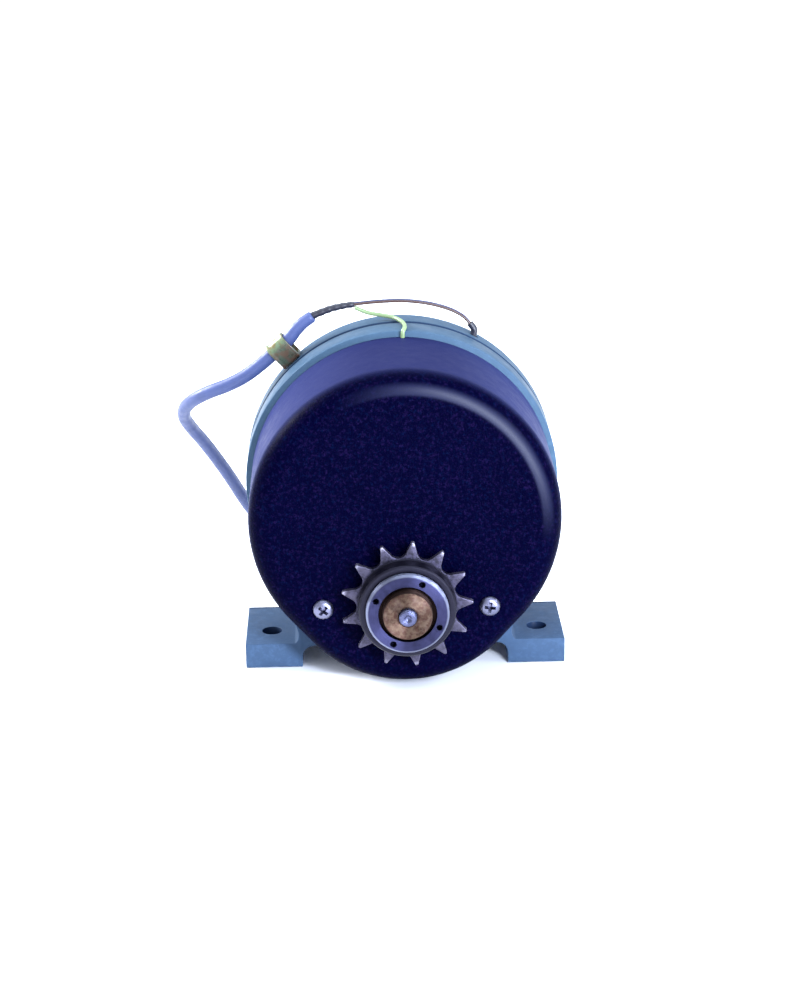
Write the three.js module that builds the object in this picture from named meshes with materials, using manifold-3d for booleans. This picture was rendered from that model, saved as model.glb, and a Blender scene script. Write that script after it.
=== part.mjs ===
// A foot-mounted permanent-magnet gearmotor with a bicycle freewheel sprocket on its offset output shaft.
// Units are millimetres. X runs to the right seen from the sprocket end, Y runs from the sprocket end to
// the back and Z is up. The origin is on the floor, under the middle of the motor.
import * as THREE from "three";
import { mergeVertices } from "three/addons/utils/BufferGeometryUtils.js";
import Module from "manifold-3d";

const wasm = await Module();
wasm.setup();

// ---------------------------------------------------------------- driving dimensions
const GAP = 0.3; // between solids that touch
const MODULE = 1; // of both gears
const PINION_TEETH = 12;
const GEAR_TEETH = 56;
const PRESSURE_ANGLE = THREE.MathUtils.degToRad(25);
const OUTPUT_Z = 46;
const MOTOR_Z = OUTPUT_Z + (MODULE * (PINION_TEETH + GEAR_TEETH)) / 2;

const FRONT_Y = -60.4; // end of the output shaft
const TOOTH_Y = -42.5; // middle of the sprocket's teeth
const FACE_Y = -36.5; // front face of the gear cover
const SEAM_Y = 26.6; // front of the housing flange
const JOINT_Y = 42.5; // between housing and rear cover
const BACK_Y = 57.9; // back face of the rear cover
const CAP_Y = 60.4; // back of the bearing cap

const COVER_R = 70.3;
const LOBE_R = 57; // round the output shaft
const COVER_BOTTOM_Z = 3;
const COVER_FILLET = 11;
const COVER_WALL = 4;
const HOUSING_R = 73;
const HOUSING_BORE_R = 63.2;

const FOOT = { outer: 74.45, inner: 47.9, top: 11.8, front: -4.1, back: 42.7, arch: 10.5, archR: 6.5 };
const FOOT_HOLE = { x: 62.4, y: 12.5, r: 4.6 };
const POST = { x: 37.4, z: 41.9, r: 5.5 }; // carries the cover screws
const BOLT_RING_R = 53; // through bolts, between the magnets

const CHAIN_PITCH = 12.7;
const SPROCKET_TEETH = 13;
const ROLLER_R = 4.1;
const TIP_R = 29.6;
const RATCHET_NOTCHES = 24;

const CABLE_R = 3.25;
const WIRE_R = 0.65;
const COIL = { x: 0, y: 112, outer: 46.5, inner: 26.25 }; // centrelines of the outer and inner turns
const CLIP = { angle: 133.1, r: 81.9, y: 50, width: 10 };

// ---------------------------------------------------------------- materials
const finish = (color, roughness, metalness) =>
  new THREE.MeshStandardMaterial({ color, roughness, metalness });
const coverPaint = () => finish(0x14143a, 0.45, 0);
const bluePaint = () => finish(0x6f8fb4, 0.5, 0);
const steel = () => finish(0x9a9aa2, 0.35, 0.9);
const darkSteel = () => finish(0x55525f, 0.45, 0.9);
const brass = () => finish(0xb08d57, 0.3, 1);
const copper = () => finish(0xb0653a, 0.4, 0.9);
const ferrite = () => finish(0x2b2b30, 0.8, 0.1);
const castAlloy = () => finish(0xa7a9ac, 0.5, 0.8);
const carbon = () => finish(0x232326, 0.6, 0.2);
const phenolic = () => finish(0x4a3020, 0.7, 0);
const jacket = () => finish(0x7a87bf, 0.6, 0);
const blackPlastic = () => finish(0x1b1b20, 0.6, 0);
const zincYellow = () => finish(0xa89a58, 0.4, 0.8);

// ---------------------------------------------------------------- shapes
const rad = THREE.MathUtils.degToRad;
const v2 = (x, y) => new THREE.Vector2(x, y);
const v3 = (x, y, z) => new THREE.Vector3(x, y, z);

// A closed mesh as a solid that can be joined and cut.
function solid(geometry) {
  const bare = geometry.index ? geometry.toNonIndexed() : geometry.clone();
  bare.deleteAttribute("normal");
  bare.deleteAttribute("uv");
  const merged = mergeVertices(bare, 1e-4);
  const triVerts = new Uint32Array(merged.index.array);
  return new wasm.Manifold(
    new wasm.Mesh({ numProp: 3, vertProperties: merged.attributes.position.array, triVerts }),
  );
}

function geometryOf(shape) {
  const mesh = shape.getMesh();
  const geometry = new THREE.BufferGeometry();
  geometry.setAttribute("position", new THREE.BufferAttribute(mesh.vertProperties, 3));
  geometry.setIndex(new THREE.BufferAttribute(mesh.triVerts, 1));
  return geometry;
}

const join = (...parts) => parts.reduce((a, b) => a.add(b));
const cut = (body, ...tools) => tools.reduce((a, b) => a.subtract(b), body);

// A body turned about the Y axis through (x, z); the profile lists [radius, y].
function turned(profile, x = 0, z = 0, segments = 32) {
  const closed = profile[0][0] > 0 ? [...profile, profile[0]] : profile;
  const geometry = new THREE.LatheGeometry(closed.map(([r, y]) => v2(r, y)), segments);
  return solid(geometry.translate(x, 0, z));
}

// A tube or, with no inner radius, a rod along Y.
function tube(inner, outer, y0, y1, x = 0, z = 0, segments = 32) {
  if (!inner) {
    return turned([[0, y0], [outer, y0], [outer, y1], [0, y1]], x, z, segments);
  }
  return turned([[inner, y0], [outer, y0], [outer, y1], [inner, y1]], x, z, segments);
}

// An outline in the XZ plane, given thickness from y0 to y1.
function slab(outline, y0, y1, curveSegments = 12) {
  const drawn = outline instanceof THREE.Shape;
  const shape = drawn ? outline : new THREE.Shape(outline.map(([x, z]) => v2(x, z)));
  const geometry = new THREE.ExtrudeGeometry(shape, { depth: y1 - y0, bevelEnabled: false, curveSegments });
  return solid(geometry.rotateX(Math.PI / 2).translate(0, y1, 0));
}

function block(x0, x1, y0, y1, z0, z1) {
  const geometry = new THREE.BoxGeometry(x1 - x0, y1 - y0, z1 - z0);
  return solid(geometry.translate((x0 + x1) / 2, (y0 + y1) / 2, (z0 + z1) / 2));
}

// A rod along Z.
function upright(radius, x, y, z0, z1, segments = 20) {
  const geometry = new THREE.CylinderGeometry(radius, radius, z1 - z0, segments).rotateX(Math.PI / 2);
  return solid(geometry.translate(x, y, (z0 + z1) / 2));
}

// A round section swept along a smooth curve through the points.
function hose(points, radius, steps, sides = 8) {
  const path =
    points instanceof THREE.Curve ? points : new THREE.CatmullRomCurve3(points, false, "centripetal");
  const section = new THREE.Shape();
  section.absarc(0, 0, radius, 0, 2 * Math.PI);
  const options = { extrudePath: path, steps, bevelEnabled: false, curveSegments: sides / 2 };
  return solid(new THREE.ExtrudeGeometry(section, options));
}

// The outline of two circles and the two straight lines that touch both, as [x, z] points.
function eggOutline(topR, lobeR, inset, arcSteps = 26, lobeSteps = 10) {
  const lobeZ = COVER_BOTTOM_Z + lobeR;
  const slope = Math.asin((topR - lobeR) / (MOTOR_Z - lobeZ));
  const points = [];
  for (let i = 0; i <= arcSteps; i++) {
    const a = -slope + ((Math.PI + 2 * slope) * i) / arcSteps;
    points.push([(topR - inset) * Math.cos(a), MOTOR_Z + (topR - inset) * Math.sin(a)]);
  }
  for (let i = 0; i <= lobeSteps; i++) {
    const a = Math.PI + slope + ((Math.PI - 2 * slope) * i) / lobeSteps;
    points.push([(lobeR - inset) * Math.cos(a), lobeZ + (lobeR - inset) * Math.sin(a)]);
  }
  return points;
}

// A solid through a row of outlines with the same number of points, from front to back.
function loft(sections) {
  const count = sections[0].points.length;
  const positions = [];
  const index = [];
  sections.forEach(({ y, points }) => points.forEach(([x, z]) => positions.push(x, y, z)));
  for (let s = 0; s < sections.length - 1; s++) {
    for (let i = 0; i < count; i++) {
      const a = s * count + i;
      const b = s * count + ((i + 1) % count);
      index.push(a, b + count, b, a, a + count, b + count);
    }
  }
  const frontCentre = positions.length / 3;
  positions.push(0, sections[0].y, MOTOR_Z);
  positions.push(0, sections.at(-1).y, MOTOR_Z);
  const last = (sections.length - 1) * count;
  for (let i = 0; i < count; i++) {
    const next = (i + 1) % count;
    index.push(frontCentre, i, next);
    index.push(frontCentre + 1, last + next, last + i);
  }
  const geometry = new THREE.BufferGeometry();
  geometry.setAttribute("position", new THREE.Float32BufferAttribute(positions, 3));
  geometry.setIndex(index);
  return solid(geometry);
}

// The cover's outline with a rounded front edge, from y0 back to y1.
function roundedEgg(y0, y1, inset, radius, steps) {
  const sections = [];
  for (let i = 0; i <= steps; i++) {
    const a = (Math.PI / 2) * (i / steps);
    const back = radius * (1 - Math.cos(a));
    sections.push({ y: y0 + back, points: eggOutline(COVER_R, LOBE_R, inset + radius * (1 - Math.sin(a))) });
  }
  sections.push({ y: y1, points: eggOutline(COVER_R, LOBE_R, inset) });
  return loft(sections);
}

// The outline of an involute spur gear with its first tooth at angle turn, about (0, z).
function gearOutline(teeth, turn, z, backlash = 0.16) {
  const pitchR = (MODULE * teeth) / 2;
  const baseR = pitchR * Math.cos(PRESSURE_ANGLE);
  const tipR = pitchR + MODULE * 0.95;
  const rootR = pitchR - MODULE * 1.3;
  const involute = (r) => {
    const a = Math.acos(Math.min(1, baseR / r));
    return Math.tan(a) - a;
  };
  const halfAt = (r) => (Math.PI / 2 - backlash) / teeth + involute(pitchR) - involute(Math.max(r, baseR));
  const radii = [rootR, Math.max(baseR, rootR + 0.4), pitchR + 0.1, tipR];
  const points = [];
  for (let k = 0; k < teeth; k++) {
    const middle = turn + (2 * Math.PI * k) / teeth;
    radii.forEach((r) => points.push([r, middle - halfAt(r)]));
    [...radii].reverse().forEach((r) => points.push([r, middle + halfAt(r)]));
  }
  return points.map(([r, a]) => [r * Math.cos(a), z + r * Math.sin(a)]);
}

// The outline of a roller-chain sprocket: round seats between long pointed teeth.
function sprocketOutline(turn) {
  const pitchR = CHAIN_PITCH / (2 * Math.sin(Math.PI / SPROCKET_TEETH));
  const step = (2 * Math.PI) / SPROCKET_TEETH;
  const points = [];
  for (let k = 0; k < SPROCKET_TEETH; k++) {
    const tooth = turn + k * step;
    points.push([TIP_R * Math.cos(tooth - 0.018), TIP_R * Math.sin(tooth - 0.018)]);
    points.push([TIP_R * Math.cos(tooth + 0.018), TIP_R * Math.sin(tooth + 0.018)]);
    const seat = tooth + step / 2;
    const centre = [pitchR * Math.cos(seat), pitchR * Math.sin(seat)];
    for (let i = 0; i <= 6; i++) {
      const a = seat - Math.PI + rad(64) * (1 - i / 3);
      points.push([centre[0] + ROLLER_R * Math.cos(a), centre[1] + ROLLER_R * Math.sin(a)]);
    }
  }
  return points.map(([x, z]) => [x, OUTPUT_Z + z]);
}

// ---------------------------------------------------------------- assembly
const motor = new THREE.Group();

function add(name, shape, material) {
  const mesh = new THREE.Mesh(geometryOf(shape), material);
  mesh.name = name;
  motor.add(mesh);
  return mesh;
}

// Points on the bolt ring, at 45 degrees between the magnets.
const boltSpots = [45, 135, 225, 315].map((a) => ({
  x: BOLT_RING_R * Math.cos(rad(a)),
  z: MOTOR_Z + BOLT_RING_R * Math.sin(rad(a)),
}));

// ---- gear cover: a deep cast shell with a rounded front edge and a bearing seat for the output shaft
const SEAT_FRONT = { r: 17.5, y0: -35, y1: -24 };
const EARTH = { x: 1.1, y: 25.3 }; // where the earth wire goes in, at the back of the cover's wall
function gearCover() {
  const outer = roundedEgg(FACE_Y, SEAM_Y - GAP, 0, COVER_FILLET, 5);
  const hollow = roundedEgg(FACE_Y + COVER_WALL + 0.5, SEAM_Y + 1, COVER_WALL, COVER_FILLET - COVER_WALL, 3);
  const boss = tube(0, SEAT_FRONT.r + COVER_WALL, FACE_Y + 2, SEAT_FRONT.y1 - 0.2, 0, OUTPUT_Z);
  const seat = tube(0, SEAT_FRONT.r + GAP, SEAT_FRONT.y0 - GAP, SEAT_FRONT.y1 + 2, 0, OUTPUT_Z);
  const opening = tube(0, 10.5, FACE_Y - 1, SEAT_FRONT.y0, 0, OUTPUT_Z, 24);
  const holes = [-1, 1].map((side) => tube(0, 2.4, FACE_Y - 1, FACE_Y + 8, side * POST.x, POST.z, 12));
  const earthNotch = upright(1.35, EARTH.x, EARTH.y, MOTOR_Z + 62, MOTOR_Z + 75, 10);
  return cut(join(cut(outer, hollow), boss), seat, opening, earthNotch, ...holes);
}
add("gear_cover", gearCover(), coverPaint());

// ---- bearing plate: closes the gear space, carries two bearings and the two posts of the cover screws
const PLATE = { y0: -10, y1: -4 };
const ROTOR_FRONT = { r: 16, y0: -10.5, y1: -0.5 };
const OUTPUT_REAR = { r: 14, y0: -9.5, y1: -1.5 };
function bearingPlate() {
  const plate = slab(eggOutline(COVER_R, LOBE_R, COVER_WALL + 0.6, 24, 10), PLATE.y0, PLATE.y1);
  const rotorBoss = tube(0, 20, PLATE.y0 - 2, ROTOR_FRONT.y1, 0, MOTOR_Z, 28);
  const outputBoss = tube(0, 17.5, PLATE.y0 - 1, OUTPUT_REAR.y1 + 0.8, 0, OUTPUT_Z, 28);
  const postFront = FACE_Y + COVER_WALL + 0.9;
  const posts = [-1, 1].map((s) => tube(0, POST.r, postFront, PLATE.y0 + 1, s * POST.x, POST.z, 16));
  const cuts = [
    tube(0, ROTOR_FRONT.r + GAP, ROTOR_FRONT.y0 - GAP, 5, 0, MOTOR_Z, 28),
    tube(0, 9, -20, 0, 0, MOTOR_Z, 20),
    tube(0, OUTPUT_REAR.r + GAP, -20, OUTPUT_REAR.y1 + GAP, 0, OUTPUT_Z, 28),
    ...[-1, 1].map((s) => tube(0, 2.4, FACE_Y, FACE_Y + 17, s * POST.x, POST.z, 12)),
    ...boltSpots.map(({ x, z }) => tube(0, 2.9, -8.7, 0, x, z, 12)),
  ];
  return cut(join(plate, rotorBoss, outputBoss, ...posts), ...cuts);
}
add("bearing_plate", bearingPlate(), castAlloy());

// ---- housing ring with a flange that closes the back of the gear cover
function motorHousing() {
  const flange = slab(eggOutline(HOUSING_R, LOBE_R, 0, 36, 12), SEAM_Y, SEAM_Y + 3.4);
  const ring = turned(
    [[60, SEAM_Y + 1], [HOUSING_R, SEAM_Y + 1], [HOUSING_R, JOINT_Y - 1.7], [HOUSING_R - 1.4, JOINT_Y - 0.3],
      [60, JOINT_Y - 0.3]],
    0, MOTOR_Z, 44,
  );
  const spigot = tube(60, COVER_R - COVER_WALL - 0.7, SEAM_Y - 4, SEAM_Y + 2, 0, MOTOR_Z, 40);
  const bore = tube(0, HOUSING_BORE_R, 0, 50, 0, MOTOR_Z, 40);
  return cut(join(flange, ring, spigot), bore);
}
add("motor_housing", motorHousing(), bluePaint());

// ---- rear cover: end bell with the rear bearing seat
const ROTOR_REAR = { r: 15, y0: 49, y1: 58 };
const LEAD_ENTRY = { x: 36.6, z: 146.5, y: 50 };
function rearCover() {
  const seatR = ROTOR_REAR.r + GAP;
  const rim = HOUSING_R;
  const bell = turned(
    [[0, ROTOR_REAR.y1 + GAP], [seatR, ROTOR_REAR.y1 + GAP], [seatR, ROTOR_REAR.y0], [17.9, ROTOR_REAR.y0],
      [17.9, BACK_Y - 3.5], [60, BACK_Y - 3.5], [60, 48], [67.5, 48], [67.5, JOINT_Y + 0.3],
      [rim - 1.4, JOINT_Y + 0.3], [rim, JOINT_Y + 1.7], [rim, BACK_Y - 3], [rim - 0.9, BACK_Y - 0.9],
      [rim - 3, BACK_Y], [22, BACK_Y], [20, CAP_Y], [0, CAP_Y]],
    0, MOTOR_Z, 44,
  );
  const reach = v2(LEAD_ENTRY.x, LEAD_ENTRY.z - MOTOR_Z).normalize();
  const bore = new THREE.CylinderGeometry(2.2, 2.2, 20, 12);
  bore.rotateX(Math.PI / 2).rotateY(Math.atan2(reach.x, reach.y));
  bore.translate(reach.x * 72, LEAD_ENTRY.y, MOTOR_Z + reach.y * 72);
  const bolts = boltSpots.map(({ x, z }) => tube(0, 2.9, 40, 70, x, z, 12));
  return cut(bell, solid(bore), ...bolts);
}
add("rear_cover", rearCover(), bluePaint());

// ---- feet: one casting on each side, hugging the housing ring, with an arch on the inner side
function foot(side) {
  const shape = new THREE.Shape();
  const ringR = HOUSING_R + GAP + 0.1;
  const onRing = (x) => MOTOR_Z - Math.sqrt(ringR ** 2 - x ** 2);
  const [inEnd, outEnd] = [37.5, 53];
  shape.moveTo(FOOT.outer, 0);
  shape.lineTo(FOOT.outer, FOOT.top);
  shape.lineTo(51.8, FOOT.top);
  shape.quadraticCurveTo(49.4, FOOT.top + 0.7, 49.6, FOOT.top + 5);
  shape.lineTo(outEnd, onRing(outEnd));
  for (let i = 1; i <= 5; i++) {
    const x = outEnd + ((inEnd - outEnd) * i) / 5;
    shape.lineTo(x, onRing(x) - 0.2);
  }
  shape.lineTo(inEnd, FOOT.arch);
  shape.lineTo(FOOT.inner - FOOT.archR, FOOT.arch);
  shape.quadraticCurveTo(FOOT.inner, FOOT.arch, FOOT.inner, FOOT.arch - FOOT.archR);
  shape.lineTo(FOOT.inner, 0);
  const body = slab(shape, FOOT.front, FOOT.back, 4);
  const bored = cut(body, upright(FOOT_HOLE.r, FOOT_HOLE.x, FOOT_HOLE.y, -5, 30));
  return side > 0 ? bored : bored.mirror([1, 0, 0]);
}
add("foot_right", foot(1), bluePaint());
add("foot_left", foot(-1), bluePaint());

// ---- fasteners
function coverScrew(side) {
  const [x, z] = [side * POST.x, POST.z];
  const top = FACE_Y - GAP;
  const screw = turned(
    [[0, top - 2.5], [1.6, top - 2.4], [3.2, top - 1.9], [4.3, top - 0.9], [4.7, top], [1.95, top],
      [1.95, top + 14], [0, top + 14.5]],
    x, z, 20,
  );
  const slots = [rad(40), rad(130)].map((a) => {
    const bar = new THREE.BoxGeometry(4.6, 1.7, 0.95).rotateY(a).translate(x, top - 2.3, z);
    return solid(bar);
  });
  return cut(screw, ...slots);
}
add("cover_screw_left", coverScrew(-1), steel());
add("cover_screw_right", coverScrew(1), steel());

boltSpots.forEach(({ x, z }, i) => {
  const head = tube(0, 4.5, BACK_Y + GAP, CAP_Y, x, z, 6);
  const shank = tube(0, 2.5, -8.4, BACK_Y + 1, x, z, 10);
  add(`through_bolt_${i + 1}`, join(head, shank), steel());
});

// ---- stator: steel yoke and four ferrite arcs
const YOKE = { r0: 58.2, r1: 62.6, y0: PLATE.y1 + 0.4, y1: 40 };
add("yoke", tube(YOKE.r0, YOKE.r1, YOKE.y0, YOKE.y1, 0, MOTOR_Z, 40), steel());

function magnet(angle) {
  const shape = new THREE.Shape();
  const half = rad(31);
  shape.absarc(0, 0, YOKE.r0 - 0.7, angle - half, angle + half, false);
  shape.absarc(0, 0, 49.4, angle + half, angle - half, true);
  return slab(shape, 4, 37, 8).translate([0, 0, MOTOR_Z]);
}
for (let i = 0; i < 4; i++) {
  add(`magnet_${i + 1}`, magnet((i * Math.PI) / 2), ferrite());
}

// ---- rotor
const CORE = { r: 48.4, slots: 12, y0: 6.3, y1: 34, slotR: 28, slotHalf: 4 };
function armatureCore() {
  const points = [];
  const mouth = Math.asin(CORE.slotHalf / CORE.r);
  for (let k = 0; k < CORE.slots; k++) {
    const a = (2 * Math.PI * k) / CORE.slots;
    const next = a + (2 * Math.PI) / CORE.slots;
    const floor = Math.asin(CORE.slotHalf / CORE.slotR);
    [[CORE.slotR, a - floor], [CORE.slotR, a + floor], [CORE.r, a + mouth], [CORE.r, (a + next) / 2],
      [CORE.r, next - mouth]].forEach(([r, t]) => points.push([r * Math.cos(t), MOTOR_Z + r * Math.sin(t)]));
  }
  return cut(slab(points, CORE.y0, CORE.y1), tube(0, 6.8, 0, 40, 0, MOTOR_Z, 20));
}
add("armature_core", armatureCore(), darkSteel());

function armatureWinding() {
  const front = tube(23, 46, 1, CORE.y0 - 0.4, 0, MOTOR_Z, 28);
  const back = tube(23, 46, CORE.y1 + 0.4, 39, 0, MOTOR_Z, 28);
  const bars = [];
  for (let k = 0; k < CORE.slots; k++) {
    const bar = new THREE.BoxGeometry(16, 34, 6.6).translate(37, 20, 0);
    bars.push(solid(bar.rotateY((2 * Math.PI * k) / CORE.slots).translate(0, 0, MOTOR_Z)));
  }
  return join(front, back, ...bars);
}
add("armature_winding", armatureWinding(), copper());

const COMMUTATOR = { r: 16, y0: 39.4, y1: 47.8 };
function commutator() {
  const ring = tube(6.8, COMMUTATOR.r, COMMUTATOR.y0, COMMUTATOR.y1, 0, MOTOR_Z, 24);
  const grooves = [];
  for (let k = 0; k < 12; k++) {
    const groove = new THREE.BoxGeometry(2.4, 12, 0.5).translate(COMMUTATOR.r, 44, 0);
    grooves.push(solid(groove.rotateY(rad(30 * k + 15)).translate(0, 0, MOTOR_Z)));
  }
  return cut(ring, ...grooves);
}
add("commutator", commutator(), copper());

const rotorShaft = turned(
  [[0, -24.4], [3, -24.4], [3, -11.3], [5.9, -11.3], [5.9, 0.4], [6.5, 0.4], [6.5, 48.4], [4.9, 48.4],
    [4.9, 57.6], [0, 57.6]],
  0, MOTOR_Z, 20,
);
add("rotor_shaft", rotorShaft, steel());

const PINION = { y0: -24, y1: -12 };
const pinionBlank = slab(gearOutline(PINION_TEETH, -Math.PI / 2, MOTOR_Z), PINION.y0, PINION.y1);
add("rotor_pinion", cut(pinionBlank, tube(0, 3.3, -30, 0, 0, MOTOR_Z, 16)), steel());

// ---- bearings: an outer ring in the casting and an inner ring on the shaft, 0.6 mm apart
function bearing(name, z, inner, outer, y0, y1, segments = 24) {
  const middle = (inner + outer) / 2;
  add(`${name}_outer_ring`, tube(middle + GAP, outer, y0, y1, 0, z, segments), steel());
  add(`${name}_inner_ring`, tube(inner + 0.25, middle - GAP, y0 + 0.2, y1 - 0.2, 0, z, segments), steel());
}
bearing("rotor_front_bearing", MOTOR_Z, 6, ROTOR_FRONT.r, ROTOR_FRONT.y0, ROTOR_FRONT.y1);
bearing("rotor_rear_bearing", MOTOR_Z, 5, ROTOR_REAR.r, ROTOR_REAR.y0 + GAP, ROTOR_REAR.y1);
bearing("output_front_bearing", OUTPUT_Z, 7.5, SEAT_FRONT.r, SEAT_FRONT.y0, SEAT_FRONT.y1);
bearing("output_rear_bearing", OUTPUT_Z, 6, OUTPUT_REAR.r, OUTPUT_REAR.y0, OUTPUT_REAR.y1);

// ---- brush gear: two sprung carbon brushes above and below the commutator
const BRUSH = { y: 44, halfX: 4, halfY: 3, from: 16.6, to: 30 };
const SPRING = { from: 30.4, to: 39.6, r: 2.3, wire: 0.4, turns: 3.5 };
function brushRing() {
  const ring = tube(24, 62.4, 44.6, 47.6, 0, MOTOR_Z, 32);
  // A block along the brushes' line, on one side of the shaft.
  const arm = (side, halfX, halfY, from, to) => {
    const [low, high] = [MOTOR_Z + side * from, MOTOR_Z + side * to].sort((a, b) => a - b);
    return block(-halfX, halfX, BRUSH.y - halfY, BRUSH.y + halfY, low, high);
  };
  const holders = [-1, 1].map((s) => arm(s, 5.6, 4.4, BRUSH.from + 1.6, SPRING.to + 1.6));
  const channels = [-1, 1].map((s) => arm(s, 4.3, 3.3, 0, SPRING.to + 0.3));
  const frame = cut(join(ring, ...holders), ...channels);
  return cut(frame, ...boltSpots.map(({ x, z }) => tube(0, 3.2, 40, 50, x, z, 12)));
}
add("brush_ring", brushRing(), phenolic());

class SpringCurve extends THREE.Curve {
  constructor(side) {
    super();
    this.side = side;
  }
  getPoint(t, target = v3(0, 0, 0)) {
    const a = 2 * Math.PI * SPRING.turns * t;
    const r = SPRING.from + SPRING.wire + (SPRING.to - SPRING.from - 2 * SPRING.wire) * t;
    return target.set(SPRING.r * Math.cos(a), BRUSH.y + SPRING.r * Math.sin(a), MOTOR_Z + this.side * r);
  }
}
[["upper", 1], ["lower", -1]].forEach(([name, s]) => {
  const ends = [BRUSH.from, BRUSH.to].map((r) => MOTOR_Z + s * r).sort((a, b) => a - b);
  const { y, halfX, halfY } = BRUSH;
  add(`${name}_brush`, block(-halfX, halfX, y - halfY, y + halfY, ...ends), carbon());
  add(`${name}_brush_spring`, hose(new SpringCurve(s), SPRING.wire, 28, 6), steel());
});

// ---- output shaft with its gear, key and circlip
const shaftProfile = [
  [0, FRONT_Y], [3.4, FRONT_Y], [3.9, FRONT_Y + 0.6], [3.9, -54.5], [6, -54.2], [6, -37.2], [7.3, -37],
  [7.3, -36.4], [6.6, -36.4], [6.6, -35.3], [7.5, -35.3], [7.5, -23.2], [8.5, -23.2], [8.5, -12.8],
  [7.2, -12.8], [7.2, -10.2], [5.9, -10.2], [5.9, -1.6], [0, -1.6],
];
const KEY = { half: 2, y0: -22, y1: -14, z0: 6, z1: 10.4 };
function outputShaft() {
  const blank = turned(shaftProfile, 0, OUTPUT_Z, 18);
  const half = KEY.half + 0.25;
  const floor = OUTPUT_Z + KEY.z0 - 0.3;
  const keyway = block(-half, half, KEY.y0 - 0.25, KEY.y1 + 0.25, floor, OUTPUT_Z + 12);
  const drill = [[0, FRONT_Y - 1], [1.9, FRONT_Y - 1], [1.5, FRONT_Y + 0.5], [0, FRONT_Y + 2]];
  const centreDrill = turned(drill, 0, OUTPUT_Z, 12);
  return cut(blank, keyway, centreDrill);
}
add("output_shaft", outputShaft(), steel());

const GEAR = { y0: -23, y1: -13 };
function outputGear() {
  const gapOnTop = Math.PI / 2 + Math.PI / GEAR_TEETH;
  const blank = slab(gearOutline(GEAR_TEETH, gapOnTop, OUTPUT_Z), GEAR.y0, GEAR.y1);
  const recess = (y0, y1) => tube(13, 23.5, y0, y1, 0, OUTPUT_Z, 24);
  const keyway = block(-KEY.half - 0.25, KEY.half + 0.25, -30, 0, OUTPUT_Z, OUTPUT_Z + KEY.z1 + 0.3);
  const bore = tube(0, 8.9, -30, 0, 0, OUTPUT_Z, 24);
  return cut(blank, recess(-24, GEAR.y0 + 3), recess(GEAR.y1 - 3, -12), bore, keyway);
}
add("output_gear", outputGear(), darkSteel());
add(
  "gear_key",
  block(-KEY.half, KEY.half, KEY.y0, KEY.y1, OUTPUT_Z + KEY.z0, OUTPUT_Z + KEY.z1),
  steel(),
);
const circlip = cut(
  tube(6.9, 9.4, -36.2, -35.5, 0, OUTPUT_Z, 24),
  block(-1.5, 1.5, -37, -35, OUTPUT_Z - 12, OUTPUT_Z),
);
add("shaft_circlip", circlip, steel());

// ---- hub adaptor: brass, threaded M30 behind for the freewheel, with a plain nose
const hubAdaptor = turned(
  [[4.2, -58.4], [10.9, -58.4], [11.3, -58], [11.3, -51.6], [14.8, -51.2], [14.8, -39.8], [18, -39.8],
    [18, -38.2], [6.3, -38.2], [6.3, -54.7], [4.2, -54.7]],
  0, OUTPUT_Z, 30,
);
add("hub_adaptor", hubAdaptor, brass());

// ---- freewheel: core screwed on the adaptor, two pawls, ratchet ring with the sprocket teeth, lock ring
const FREE = { coreIn: 15.1, coreOut: 17.9, ratchetIn: 18.5, ratchetOut: 19.7, shellR: 21.6 };
const PAWL = { y0: -47, y1: -42, angles: [20, 200], pivotR: 16.7, length: 6.4 };
function pawlPlace(shape, angle) {
  return shape.rotate([0, -angle, 0]).translate([0, 0, OUTPUT_Z]);
}
function freewheelCore() {
  const ring = tube(FREE.coreIn, FREE.coreOut, -51.8, -40.1, 0, OUTPUT_Z, 40);
  const pocket = block(14.9, 19, PAWL.y0 - 0.4, PAWL.y1 + 0.4, -2, PAWL.length + 0.9);
  return cut(ring, ...PAWL.angles.map((a) => pawlPlace(pocket, a)));
}
add("freewheel_core", freewheelCore(), darkSteel());

PAWL.angles.forEach((angle, i) => {
  const outline = [[15.9, -1.1], [17.3, -1.1], [17.6, 0.6], [17.9, 3], [18.2, 5.4], [17.2, 5.5], [16.2, 3],
    [15.8, 0.6]];
  add(`pawl_${i + 1}`, pawlPlace(slab(outline, PAWL.y0, PAWL.y1), angle), steel());
});

function freewheelSprocket() {
  const plate = slab(sprocketOutline(rad(84.3)), TOOTH_Y - 1.5, TOOTH_Y + 1.5);
  const shell = turned(
    [[15, -52], [20.9, -52], [FREE.shellR, -51.3], [FREE.shellR, -39.4], [15, -39.4]], 0, OUTPUT_Z, 48,
  );
  const bore = tube(0, FREE.ratchetIn, -60, -30, 0, OUTPUT_Z, 48);
  const notches = [];
  for (let k = 0; k < RATCHET_NOTCHES; k++) {
    const a = (2 * Math.PI * k) / RATCHET_NOTCHES;
    const b = a + (1.6 * Math.PI) / RATCHET_NOTCHES;
    notches.push([FREE.ratchetIn * Math.cos(a), OUTPUT_Z + FREE.ratchetIn * Math.sin(a)]);
    notches.push([FREE.ratchetOut * Math.cos(b), OUTPUT_Z + FREE.ratchetOut * Math.sin(b)]);
  }
  return cut(join(plate, shell), bore, slab(notches, PAWL.y0 - 1, PAWL.y1 + 1));
}
add("freewheel_sprocket", freewheelSprocket(), darkSteel());

function lockRing() {
  const ring = turned(
    [[12.9, -55.6], [17.6, -55.6], [18.5, -54.7], [18.5, -52.3], [14.4, -52.3], [13.6, -53], [12.9, -53]],
    0, OUTPUT_Z, 40,
  );
  const holes = [65, 155, 245, 335].map((a) =>
    tube(0, 1.2, -60, -53.1, 15.4 * Math.cos(rad(a)), OUTPUT_Z + 15.4 * Math.sin(rad(a)), 10),
  );
  return cut(ring, ...holes);
}
add("freewheel_lock_ring", lockRing(), steel());

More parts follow.
